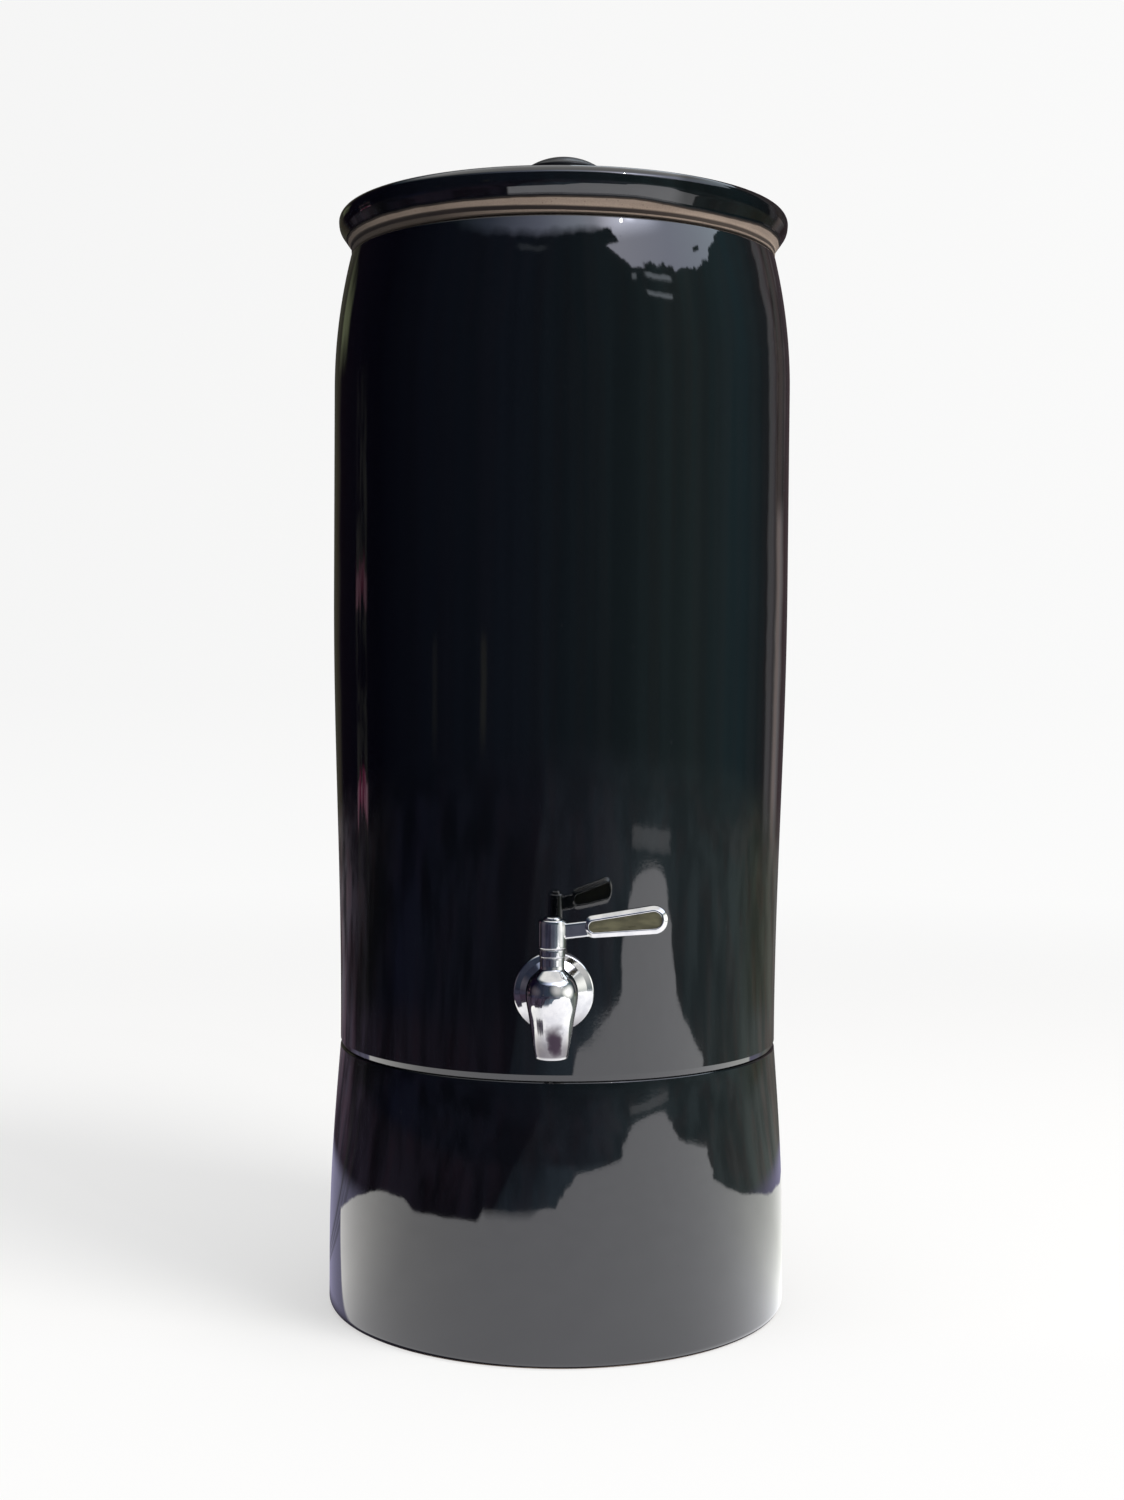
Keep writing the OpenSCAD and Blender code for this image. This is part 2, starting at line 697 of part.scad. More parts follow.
module cartridge_base() {
    r = tube_r + cap_skirt_w;
    slot_in = base_slots * base_slot_w / 4;
    slot_out = tube_in_r - 4;
    color(plastic) difference() {
        turned([
            [0, tube_bottom_z - cap_t, 0], [r, tube_bottom_z - cap_t, 2],
            [r, tube_bottom_z + cap_skirt_h - cap_t, 0.6], [tube_r + slip, tube_bottom_z + cap_skirt_h - cap_t, 0],
            [tube_r + slip, tube_bottom_z, 0], [0, tube_bottom_z, 0]]);
        for (i = [1:base_slots]) rotate([0, 0, i * 360 / base_slots])
            translate([slot_in, -base_slot_w / 2, tube_bottom_z - cap_t - 1])
                cube([slot_out - slot_in, base_slot_w, cap_t + 2]);
    }
}

module cartridge_screen() {
    color(steel) translate([0, 0, tube_bottom_z]) cylinder(r = tube_in_r - slip, h = screen_t);
}

// Each bed lies on the one below it, with a felt pad above and below
beds = [balls_h, silica_h, mineral_h, zeolite_h, carbon_h];
function pad_z(i) = i == 0 ? media_bottom_z : pad_z(i - 1) + pad_t + beds[i - 1];

module felt_pads() {
    color("#f4f4ee") for (i = [0:5]) translate([0, 0, pad_z(i)]) cylinder(r = tube_in_r - slip, h = pad_t);
}

module bed(i, h, tint) {
    color(tint) translate([0, 0, pad_z(i) + pad_t]) cylinder(r = tube_in_r - slip, h = h);
}

module media_mineral_balls() bed(0, balls_h, "#b58a6a");
module media_silica_sand() bed(1, silica_h, "#e9dfc8");
module media_mineral_sand() bed(2, mineral_h, "#b9a58a");
module media_zeolite() bed(3, zeolite_h, "#c9c4a8");
module media_carbon() bed(4, carbon_h, "#1b1b1b");

// ---- Lid ----
ring_out_r = pot_r - pot_wall - lid_ring_gap;
ring_in_r = ring_out_r - lid_ring_w;
seat_in_r = mouth_r - lid_seat_w;
under_h = lid_edge_h - lid_t;
knob_seat_r = knob_waist_d / 2 + 2;

module lid() {
    color(glaze) translate([0, 0, rim_z]) turned([
        [0, under_h, 0],
        [ring_in_r, under_h, 3],
        [ring_in_r, -lid_ring_h, 1.5],
        [ring_out_r, -lid_ring_h, 1.5],
        [ring_out_r, under_h - 3, 1.5],
        [seat_in_r, under_h - 3, 1.5],
        [seat_in_r, 0, 1],
        [mouth_r, 0, 1.8],
        [mouth_r, lid_foot_h, 4],
        [lid_r - 0.8, lid_edge_h * 0.6, 8],
        [lid_r, lid_edge_h, lid_edge_round],
        [lid_r - 14, lid_edge_h, 20],
        [knob_seat_r, lid_edge_h + lid_dome, 6],
        [0, lid_edge_h + lid_dome, 0]]);
}

module lid_knob() {
    r = knob_d / 2;
    waist = knob_waist_d / 2;
    crown_r = (r * r + knob_crown * knob_crown) / (2 * knob_crown);
    crown = [for (a = reversed(steps(0, asin(r / crown_r), 8)))
        [crown_r * sin(a), knob_h - crown_r * (1 - cos(a)), a > 0 ? 0.4 : 0]];
    color(glaze) translate([0, 0, lid_top_z]) turned(concat([
        [0, 0, 0],
        [waist + 1, 0, 0],
        [waist - 1, knob_h * 0.34, 7],
        [r, knob_h * 0.58, 3]],
        crown));
}

stand();
crock();
tap_body();
tap_flange();
tap_outer_washer();
tap_inner_washer();
tap_nut();
bonnet_ring();
valve_sleeve();
lever();
lever_inlay();
lever_screw();
valve_stem();
stem_o_rings();
filter_pot();
ceramic_dome();
dome_base();
dome_washer();
pot_nut();
cartridge_cap();
cartridge_seal();
cartridge_tube();
cartridge_base();
cartridge_screen();
felt_pads();
media_carbon();
media_zeolite();
media_mineral_sand();
media_silica_sand();
media_mineral_balls();
lid();
lid_knob();
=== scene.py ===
"""Dresses the gravity water filter: black glaze, bare clay, bright metal, the filter inside, and the studio.

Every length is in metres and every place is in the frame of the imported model: +Z up, the tap towards -Y,
the origin on the floor at the crock's axis.
"""

import math
import random

import bmesh
import bpy
from mathutils import Matrix, Vector


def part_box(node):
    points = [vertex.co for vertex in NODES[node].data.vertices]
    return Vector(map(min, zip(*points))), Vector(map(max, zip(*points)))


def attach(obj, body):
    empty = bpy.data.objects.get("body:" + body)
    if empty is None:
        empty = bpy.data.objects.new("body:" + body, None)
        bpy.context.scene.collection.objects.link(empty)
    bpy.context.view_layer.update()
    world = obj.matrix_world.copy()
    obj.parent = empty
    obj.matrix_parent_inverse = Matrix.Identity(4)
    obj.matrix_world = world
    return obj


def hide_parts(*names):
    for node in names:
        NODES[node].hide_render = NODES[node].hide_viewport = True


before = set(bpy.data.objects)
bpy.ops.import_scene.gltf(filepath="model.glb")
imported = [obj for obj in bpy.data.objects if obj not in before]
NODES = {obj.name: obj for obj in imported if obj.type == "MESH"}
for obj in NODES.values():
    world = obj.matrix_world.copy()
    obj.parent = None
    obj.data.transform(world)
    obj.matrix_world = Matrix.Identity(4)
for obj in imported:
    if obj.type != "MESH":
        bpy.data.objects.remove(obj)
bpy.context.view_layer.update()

bl_info = {
    "name": "Gravity Water Filter",
    "version": (1, 0, 0),
    "blender": (4, 5, 0),
    "location": "3D View > Sidebar > Water Filter",
    "description": "Finishes and fine shapes for a stoneware gravity water filter with a tap",
    "category": "Object",
}

MM = 0.001
STAND_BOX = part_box("stand")
CROCK_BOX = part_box("crock")
LID_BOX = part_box("lid")
KNOB_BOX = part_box("lid_knob")
POT_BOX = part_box("filter_pot")
DOME_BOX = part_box("ceramic_dome")
FLANGE_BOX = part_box("tap_flange")
BONNET_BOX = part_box("bonnet_ring")
LEVER_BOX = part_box("lever")
TAP_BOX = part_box("tap_body")
BALLS_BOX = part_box("media_mineral_balls")
SEAM_Z = STAND_BOX[1].z
RIM_Z = CROCK_BOX[1].z
SPOUT_X = 0.0
SPOUT_Y = (BONNET_BOX[0].y + BONNET_BOX[1].y) / 2
SHANK_Z = (FLANGE_BOX[0].z + FLANGE_BOX[1].z) / 2
FOOT_R = STAND_BOX[1].x
RING_STEPS = 192  # steps round the stoneware
FINE_STEPS = 128  # round the dome, the spout and the flange
SMALL_STEPS = 96  # round the smaller turned pieces
CORE_STEPS = 64  # round what is mostly hidden


# ---- Sizes and colours a user would change ----


def length(name, description, default):
    """A length property in metres."""
    return bpy.props.FloatProperty(
        name=name,
        description=description,
        default=default,
        min=0.0,
        subtype="DISTANCE",
        unit="LENGTH",
        precision=5,
    )


def angle(name, description, default):
    """An angle property in radians."""
    return bpy.props.FloatProperty(
        name=name, description=description, default=default, subtype="ANGLE", unit="ROTATION"
    )


def tint(name, description, default):
    """A colour property."""
    return bpy.props.FloatVectorProperty(
        name=name, description=description, default=default, size=3, min=0.0, max=1.0, subtype="COLOR"
    )


def amount(name, description, default):
    """A plain number property."""
    return bpy.props.FloatProperty(name=name, description=description, default=default)


class BodySizes(bpy.types.PropertyGroup):
    """Sizes of the stoneware."""

    belly_r: length("Belly radius", "Radius of the crock at its belly", 120 * MM)
    waist_in: length("Waist", "How far the waist is drawn in from the belly", 4.5 * MM)
    mouth_in: length("Mouth", "How far the shoulder draws in to the mouth", 8.5 * MM)
    stand_flare: length("Stand flare", "How much further out than the belly the stand's foot is", 1 * MM)
    stand_wall: length("Stand wall", "Wall thickness of the stand", 9 * MM)
    stand_straight: length("Stand straight", "Height of the straight part of the stand", 30 * MM)
    crock_wall: length("Crock wall", "Wall thickness of the crock", 8.5 * MM)
    crock_floor: length("Crock floor", "Thickness of the crock's floor", 12 * MM)
    floor_round: length("Floor rounding", "Rounding between the crock's floor and its wall", 8 * MM)
    waist_h: length("Waist height", "Height of the straight waist above the seam", 12 * MM)
    belly_h: length("Belly height", "Height above the seam where the belly is full", 240 * MM)
    shoulder: length("Shoulder", "Length of the rounded shoulder under the rim", 69 * MM)
    rim_t: length("Rim", "Thickness of the rim beside the gallery", 6.5 * MM)
    ledge_w: length("Ledge width", "Width of the ledge that carries the filter pot", 6 * MM)
    ledge_t: length("Ledge thickness", "Thickness of that ledge", 8 * MM)
    ledge_drop: length("Ledge depth", "Depth of the ledge below the rim", 7 * MM)
    foot_ring_w: length("Foot ring", "Width of the foot ring that nests in the stand", 9 * MM)
    foot_ring_gap: length("Foot ring gap", "Gap between the foot ring and the stand", 1.5 * MM)
    lid_overhang: length("Lid overhang", "How far the lid's edge overhangs the mouth", 7 * MM)
    lid_edge_h: length("Lid edge", "Height of the lid's edge above the rim", 22 * MM)
    lid_foot_h: length("Lid foot", "Height of the straight foot of the lid's edge", 4.5 * MM)
    lid_t: length("Lid plate", "Thickness of the lid's plate", 9 * MM)
    lid_seat_w: length("Lid seat", "Width of the lid's seat", 8 * MM)
    lid_ring_w: length("Lid ring width", "Width of the locating ring", 6 * MM)
    lid_ring_gap: length("Lid ring gap", "Gap between the locating ring and the pot", 1.5 * MM)
    pot_wall: length("Pot wall", "Wall thickness of the filter pot", 6 * MM)
    pot_floor: length("Pot floor", "Floor thickness of the filter pot", 8 * MM)
    pot_gap: length("Pot gap", "Gap between the pot and the ledge", 1.2 * MM)
    pot_taper: length("Pot taper", "How much narrower the pot is at its floor", 5 * MM)
    knob_waist: length("Knob waist", "Radius of the knob's waist", 12.5 * MM)
    knob_crown: length("Knob crown", "Rise of the knob's crown above its rim", 6.2 * MM)
    dome_wall: length("Dome wall", "Wall thickness of the ceramic dome", 8 * MM)


class TapSizes(bpy.types.PropertyGroup):
    """Sizes of the tap."""

    shoulder_h: length("Spout shoulder", "Height of the spout's shoulder above the shank", 17.3 * MM)
    neck_r: length("Neck", "Radius of the neck", 5.65 * MM)
    mouth_r: length("Spout mouth", "Outer radius of the spout's mouth", 7.5 * MM)
    bore_r: length("Spout bore", "Radius of the spout's bore", 5.3 * MM)
    bore_depth: length("Spout bore depth", "Depth of the spout's bore", 17 * MM)
    throat_r: length("Throat", "Radius of the throat between the spout and the flange", 7.4 * MM)
    shank_r: length("Shank", "Radius of the shank's thread", 7.9 * MM)
    shank_pitch: length("Thread pitch", "Pitch of the shank's thread", 1.5 * MM)
    hub_r: length("Hub", "Radius of the lever's hub", 6.4 * MM)
    hub_h: length("Hub height", "Height of the lever's hub", 13.2 * MM)
    paddle_start: length("Paddle start", "Distance from the valve's axis to the paddle", 14 * MM)
    lever_l: length("Lever reach", "Distance from the valve's axis to the lever's tip", 52.8 * MM)
    paddle_near: length("Paddle near height", "Height of the paddle at its near end", 10.4 * MM)
    paddle_far: length("Paddle far height", "Height of the paddle at its tip", 13 * MM)
    paddle_t: length("Paddle thickness", "Thickness of the paddle", 5.6 * MM)
    paddle_frame: length("Paddle frame", "Width of the frame around the inlay", 2.7 * MM)
    lever_rise: length("Lever rise", "Height of the lever's line above the middle of its hub", 1.3 * MM)
    arm_t: length("Arm", "Thickness of the arm between the hub and the paddle", 4.2 * MM)
    tilt: angle("Tilt", "Upward tilt of the lever", math.radians(7))


class FinishColours(bpy.types.PropertyGroup):
    """Colours and textures of the finishes."""

    glaze: tint("Glaze", "Black glaze", (0.0008, 0.0009, 0.0014))
    glaze_cool: tint("Glaze, cool", "Where the glaze is thicker", (0.0012, 0.0018, 0.0022))
    clay: tint("Clay", "Bare fired clay", (0.33, 0.258, 0.208))
    # The dark tone of the clay's grain; a quarter of it is also the colour of the painted shade on the lid's
    # bare band.
    clay_dark: tint("Clay, dark", "Grains and stains in the bare clay", (0.20, 0.15, 0.117))
    # The black of the deepest painted shade on the lid's bare band, in its low band and under the glaze's
    # edge.
    clay_shade_black: tint("Clay, black", "The blackest stains in the bare clay", (0.006, 0.002, 0.002))
    dome: tint("Filter ceramic", "Porous ceramic of the dome", (0.80, 0.76, 0.69))
    chrome: tint("Chrome", "Bright plating of the tap", (0.79, 0.78, 0.765))
    chrome_smeared: tint("Chrome, smeared", "Where the plating is less clean", (0.62, 0.62, 0.63))
    # Colour of the painted dark reflection on the plating near the spout's mouth.
    mouth_dark_reflection: tint("Tarnish", "Stain in the plating near the spout's mouth", (0.055, 0.040, 0.055))
    steel: tint("Steel", "Brushed steel", (0.56, 0.57, 0.58))
    steel_dark: tint("Steel, dark", "Brush marks in the steel", (0.42, 0.43, 0.44))
    inlay: tint("Inlay", "Olive inlay of the lever", (0.135, 0.126, 0.072))
    silicone: tint("Silicone", "Washers", (0.72, 0.71, 0.67))
    plastic: tint("Plastic", "Moulded plastic of the filter's fittings", (0.035, 0.150, 0.330))
    bush: tint("Bush", "Moulded bush of the valve", (0.80, 0.81, 0.81))
    wave_depth: length("Glaze waviness", "Depth of the slow waves in the glaze", 0.32 * MM)


class StudioSettings(bpy.types.PropertyGroup):
    """The camera and the lights."""

    distance: length("Camera distance", "Horizontal distance from the crock's axis", 1.070)
    height: length("Camera height", "Height of the camera above the floor", 0.3309)
    side: length("Camera offset", "Sideways offset of the camera", 0.0013)
    azimuth: angle("Azimuth", "Turn towards +X", math.radians(0.87))
    pitch: angle("Pitch", "Downward pitch", 0.035)
    roll: angle("Roll", "Roll of the camera", 0.0076)
    lens: amount("Lens", "Focal length in millimetres on a 36 mm long side", 48.13)
    backdrop: tint("Backdrop", "Colour of the background", (0.937, 0.937, 0.935))
    floor: tint("Floor", "Colour of the floor in full light", (0.975, 0.975, 0.972))
    floor_glow: amount("Floor glow", "Share of that colour that stays in the shadow near the part", 0.45)
    floor_shine: amount("Floor in gloss", "Brightness of the floor as reflections show it", 1.70)
    key_power: amount("Key lamp", "Power of the large lamp in watts", 35.9)
    ambient: amount("Ambient", "Strength of the soft light from all round", 0.745)


class FilterSettings(bpy.types.PropertyGroup):
    """All the settings of the water filter."""

    body: bpy.props.PointerProperty(type=BodySizes)
    tap: bpy.props.PointerProperty(type=TapSizes)
    finish: bpy.props.PointerProperty(type=FinishColours)
    studio: bpy.props.PointerProperty(type=StudioSettings)


def settings():
    """The settings kept in the scene."""
    return bpy.context.scene.water_filter


# ---- Outlines ----


def corner_reach(before, at, after, radius):
    """How far a rounding of that radius reaches along the sides of its corner."""
    half = (before - at).angle(after - at) / 2
    return radius / math.tan(half) if radius > 0 else 0.0


def corner_arc(before, at, after, radius, steps):
    """The points of one rounded corner."""
    if radius <= 0:
        return [at]
    u = (before - at).normalized()
    v = (after - at).normalized()
    half = u.angle(v) / 2
    centre = at + (u + v).normalized() * radius / math.sin(half)
    start = (at + u * radius / math.tan(half) - centre) / radius
    end = (at + v * radius / math.tan(half) - centre) / radius
    sweep = math.pi - 2 * half
    points = []
    for i in range(steps + 1):
        a = sweep * i / steps
        points.append(centre + radius * (math.sin(sweep - a) * start + math.sin(a) * end) / math.sin(sweep))
    return points


def rounded(corners, steps=8):
    """A closed outline of (across, up, rounding) corners, with its corners rounded.

    Two roundings that meet on a short side share it.
    """
    count = len(corners)
    at = [Vector((c[0], c[1])) for c in corners]
    reach = [corner_reach(at[i - 1], at[i], at[(i + 1) % count], corners[i][2]) for i in range(count)]
    share = []
    for i in range(count):
        side = (at[(i + 1) % count] - at[i]).length
        share.append(min(1.0, 0.98 * side / max(1e-9, reach[i] + reach[(i + 1) % count])))
    points = []
    for i in range(count):
        radius = corners[i][2] * min(share[i - 1], share[i])
        points += corner_arc(at[i - 1], at[i], at[(i + 1) % count], radius, steps)
    return points


def divided(points, longest):
    """The outline with its long sides divided, except those that lie on the axis."""
    result = []
    for i, start in enumerate(points):
        end = points[(i + 1) % len(points)]
        on_axis = abs(start.x) < 1e-9 and abs(end.x) < 1e-9
        parts = 1 if on_axis else max(1, math.ceil((end - start).length / longest))
        result += [start.lerp(end, k / parts) for k in range(parts)]
    return result


# ---- Meshes ----


def new_object(name, mesh_builder):
    """An object in the scene whose mesh is what mesh_builder(bm) draws."""
    bm = bmesh.new()
    mesh_builder(bm)
    bmesh.ops.recalc_face_normals(bm, faces=bm.faces)
    mesh = bpy.data.meshes.new(name)
    bm.to_mesh(mesh)
    bm.free()
    mesh.shade_smooth()
    piece = bpy.data.objects.new(name, mesh)
    bpy.context.scene.collection.objects.link(piece)
    return piece


def bridge(bm, low, high):
    """Joins two rings of points with faces; a ring of one point closes the other."""
    count = max(len(low), len(high))
    if count == 1:
        return
    for k in range(count):
        n = (k + 1) % count
        if len(low) == 1:
            bm.faces.new((low[0], high[k], high[n]))
        elif len(high) == 1:
            bm.faces.new((low[k], low[n], high[0]))
        else:
            bm.faces.new((low[k], low[n], high[n], high[k]))


def turn_outline(bm, outline, place, steps=RING_STEPS):
    """Turns a closed (radius, height) outline about its axis; place(x, y, h) puts a point in the frame."""
    rings = []
    for point in outline:
        if point.x < 1e-7:
            rings.append([bm.verts.new(place(0.0, 0.0, point.y))])
            continue
        ring = []
        for k in range(steps):
            a = 2 * math.pi * k / steps
            ring.append(bm.verts.new(place(point.x * math.cos(a), point.x * math.sin(a), point.y)))
        rings.append(ring)
    for i, ring in enumerate(rings):
        bridge(bm, ring, rings[(i + 1) % len(rings)])


def upright(centre_x=0.0, centre_y=0.0, base_z=0.0):
    """Places a turned outline about a vertical axis."""
    return lambda x, y, h: Vector((centre_x + x, centre_y + y, base_z + h))


def outward(y, z):
    """Places a turned outline about the shank's axis, with its height running out of the crock."""
    return lambda x, u, h: Vector((x, y - h, z + u))


def weigh_normals(piece):
    """Keeps flat faces flat beside their roundings."""
    modifier = piece.modifiers.new("Weighted normals", "WEIGHTED_NORMAL")
    modifier.mode = "FACE_AREA"
    modifier.weight = 60
    modifier.keep_sharp = True


def turned(name, corners, place, longest, steps=RING_STEPS, arc_steps=8):
    """A turned piece from rounded corners, with no side of its outline over the longest."""
    outline = divided(rounded(corners, arc_steps), longest)
    piece = new_object(name, lambda bm: turn_outline(bm, outline, place, steps))
    weigh_normals(piece)
    return piece


def finish(piece, material, body, replaced=(), slot=None):
    """Gives a piece its material, its body and the nodes it stands for; slot is not used."""
    piece.data.materials.clear()
    piece.data.materials.append(material)
    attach(piece, body)
    if replaced:
        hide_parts(*replaced)
    return piece


def dress(node, material):
    """Gives a CAD node a better material in every slot."""
    mesh = NODES[node].data
    if not mesh.materials:
        mesh.materials.append(material)
    for slot in NODES[node].material_slots:
        slot.material = material


# ---- Shader maths ----


class Value:
    """A socket whose operators add Math nodes."""

    def __init__(self, shader, socket):
        self.shader = shader
        self.socket = socket

    def output(self, name):
        """Another output of the same node."""
        return Value(self.shader, self.socket.node.outputs[name])

    def math(self, operation, *operands):
        """What a Math node makes of its operands."""
        return self.shader.node("ShaderNodeMath", {"operation": operation}, dict(enumerate(operands)))

    def __add__(self, other):
        return self.math("ADD", self, other)

    def __radd__(self, other):
        return self.math("ADD", other, self)

    def __sub__(self, other):
        return self.math("SUBTRACT", self, other)

    def __rsub__(self, other):
        return self.math("SUBTRACT", other, self)

    def __mul__(self, other):
        return self.math("MULTIPLY", self, other)

    def __rmul__(self, other):
        return self.math("MULTIPLY", other, self)

    def __truediv__(self, other):
        return self.math("DIVIDE", self, other)

    def __rtruediv__(self, other):
        return self.math("DIVIDE", other, self)

    def __abs__(self):
        return self.math("ABSOLUTE", self)

    def highest(self, other):
        """The higher of two numbers."""
        return self.math("MAXIMUM", self, other)

    def lowest(self, other):
        """The lower of two numbers."""
        return self.math("MINIMUM", self, other)

    def root(self):
        """The square root."""
        return self.math("SQRT", self)

    def ramp(self, low, high, smooth=True):
        """0 below low, 1 above high."""
        kind = {"interpolation_type": "SMOOTHSTEP" if smooth else "LINEAR"}
        inputs = {"Value": self, "From Min": low, "From Max": high, "To Min": 0.0, "To Max": 1.0}
        return self.shader.node("ShaderNodeMapRange", kind, inputs, "Result")


class Shader:
    """The node tree of a material, world or lamp."""

    def __init__(self, owner):
        owner.use_nodes = True
        self.tree = owner.node_tree
        self.tree.nodes.clear()

    def node(self, kind, options=None, inputs=None, output=0):
        """Adds a node: its options are set first, then the values or links of its sockets."""
        made = self.tree.nodes.new(kind)
        for key, value in (options or {}).items():
            if key == "stops":
                self.set_stops(made.color_ramp, value)
            else:
                setattr(made, key, value)
        for key, value in (inputs or {}).items():
            socket = made.inputs[key]
            if isinstance(value, Value):
                self.tree.links.new(value.socket, socket)
            elif socket.type == "RGBA" and len(value) == 3:
                socket.default_value = (*value, 1.0)
            else:
                socket.default_value = value
        if output is None:
            return made
        return Value(self, made.outputs[output])

    @staticmethod
    def set_stops(ramp, stops):
        """Sets a colour ramp's stops from (place, colour) pairs."""
        while len(ramp.elements) < len(stops):
            ramp.elements.new(0.5)
        for element, (place, colour) in zip(ramp.elements, stops):
            element.position = place
            element.color = (*colour, 1.0)

    def place(self):
        """The point in the frame, in metres."""
        return self.node("ShaderNodeTexCoord", output="Object")

    def split(self, vector):
        """The x, y and z of a vector."""
        x = self.node("ShaderNodeSeparateXYZ", {}, {0: vector}, "X")
        return x, x.output("Y"), x.output("Z")

    def join(self, x, y, z):
        """A vector from three numbers."""
        return self.node("ShaderNodeCombineXYZ", {}, {0: x, 1: y, 2: z})

    def stretch(self, vector, scale):
        """The vector with each of its parts multiplied."""
        return self.node("ShaderNodeVectorMath", {"operation": "MULTIPLY"}, {0: vector, 1: scale})

    def grain(self, vector, scale, detail=2.0, rough=0.5):
        """Noise from 0 to 1, with scale in waves to the metre."""
        inputs = {"Vector": vector, "Scale": scale, "Detail": detail, "Roughness": rough}
        return self.node("ShaderNodeTexNoise", {}, inputs, "Fac")

    def cells(self, vector, scale, output="Distance"):
        """Cells, with scale in cells to the metre."""
        return self.node("ShaderNodeTexVoronoi", {}, {"Vector": vector, "Scale": scale}, output)

    def blend(self, mask, low, high):
        """A colour between two, by a mask."""
        return self.node("ShaderNodeMix", {"data_type": "RGBA"}, {"Factor": mask, 6: low, 7: high}, 2)

    def scaled(self, colour, factor):
        """A colour times a number."""
        return self.node("ShaderNodeVectorMath", {"operation": "SCALE"}, {0: colour, "Scale": factor})

    def bump(self, height, depth, normal=None):
        """A bump of that depth in metres."""
        inputs = {"Height": height, "Distance": depth}
        if normal is not None:
            inputs["Normal"] = normal
        return self.node("ShaderNodeBump", {}, inputs, "Normal")

    def surface(self, **sockets):
        """A Principled surface; a name's underscores stand for spaces."""
        inputs = {name.replace("_", " "): value for name, value in sockets.items()}
        return self.node("ShaderNodeBsdfPrincipled", {}, inputs, "BSDF")

    def glow(self, colour, strength=1.0):
        """A surface that only gives out light."""
        return self.node("ShaderNodeEmission", {}, {"Color": colour, "Strength": strength})

    def mix(self, mask, low, high):
        """One of two surfaces, by a mask."""
        return self.node("ShaderNodeMixShader", {}, {0: mask, 1: low, 2: high})

    def finish(self, surface, kind="ShaderNodeOutputMaterial"):
        """Sets what the tree gives out."""
        self.node(kind, {}, {"Surface": surface}, None)


def dimmed(colour, factor):
    """A plain colour times a number, at most white."""
    return tuple(min(1.0, part * factor) for part in colour)


def material(name, build):
    """A material whose tree is drawn by build(shader), made once."""
    full_name = "fine_" + name
    if full_name in bpy.data.materials:
        return bpy.data.materials[full_name]
    made = bpy.data.materials.new(full_name)
    shader = Shader(made)
    shader.finish(build(shader))
    return made


# ---- Finishes ----


def black_glaze(s, bead=None, thin=0.0, matte=0.0):
    """Deep black glaze with slow waves, fine orange peel and a few pinholes.

    It is thicker where bead is 1, less bright where thin is 1, and dull where matte is 1.
    """
    colours = settings().finish
    at = s.place()
    slow = s.grain(at, 17.0, 1.5)
    drawn = s.grain(s.stretch(at, (1.0, 1.0, 0.32)), 46.0, 2.0)
    peel = s.grain(at, 700.0, 1.0)
    pits = 1 - s.cells(at, 72.0).ramp(0.012, 0.03)
    waves = s.bump(slow + drawn * 0.16, colours.wave_depth)
    skin = s.bump(peel, 0.0035 * MM, normal=waves)
    pitted = s.bump(1 - pits, 0.10 * MM, normal=skin)
    if bead is not None:
        pitted = s.bump(bead, 0.6 * MM, normal=pitted)
    tone = s.blend(s.grain(at, 9.0, 3.0), colours.glaze, colours.glaze_cool)
    return s.surface(
        Base_Color=tone,
        Roughness=s.grain(at, 30.0, 3.0) * 0.04 + 0.02 + pits * 0.2 + matte * 0.5,
        IOR=1.54,
        Coat_Weight=1 - thin,
        Coat_Roughness=0.02,
        Coat_IOR=1.54,
        Normal=pitted,
    )


def bare_clay(s, painted_shade=0.0, black=0.0):
    """Bare fired clay with a sandy grain, darker specks and slow stains.

    It is painted a darker brown as shade by its first mask, and painted black as deeper shade by its second.
    """
    colours = settings().finish
    at = s.place()
    sand = s.grain(at, 1400.0, 3.0)
    stain = s.grain(s.stretch(at, (1.0, 1.0, 4.0)), 26.0, 4.0)
    specks = 1 - s.cells(at, 420.0).ramp(0.10, 0.22)
    shade = (stain.ramp(0.30, 0.75) * 0.55 + sand.ramp(0.35, 0.7) * 0.25 + specks * 0.5).lowest(1.0)
    turning = s.grain(s.stretch(at, (0.2, 0.2, 5.0)), 240.0, 2.0)
    rough = s.bump(sand * 0.6 + turning * 0.6 - specks * 0.4, 0.14 * MM)
    tone = s.blend(shade, colours.clay, colours.clay_dark)
    # Painted shade: the clay's colour is darkened towards a deep brown, then towards black, by the two masks.
    painted_shade_tone = s.blend(painted_shade, tone, dimmed(colours.clay_dark, 0.25))
    return s.surface(
        Base_Color=s.blend(black, painted_shade_tone, colours.clay_shade_black),
        Roughness=0.86,
        IOR=1.45,
        Normal=rough,
    )


def glazed_from(name, bare, clay_masks=lambda s: (), glaze_masks=lambda s: ()):
    """Black glaze with bare clay where bare(shader) is 1; the masks go on to the clay and the glaze."""

    def build(s):
        return s.mix(bare(s), black_glaze(s, *glaze_masks(s)), bare_clay(s, *clay_masks(s)))

    return material(name, build)


def above_line(value, line, soft=0.1 * MM):
    """1 above a line and 0 below it, with a narrow soft edge."""
    return value.ramp(line - soft, line + soft)


def wander(s, size, waves=34.0):
    """A small wandering of a glaze line, in metres."""
    return (s.grain(s.place(), waves, 3.0) - 0.5) * size


def stand_glaze():
    """The stand is bare only on the edge that it stands on."""
    bare_h = 1.1 * MM

    def bare(s):
        z = s.split(s.place())[2]
        return 1 - above_line(z + wander(s, 0.7 * MM), bare_h)

    return glazed_from("stand_glaze", bare)


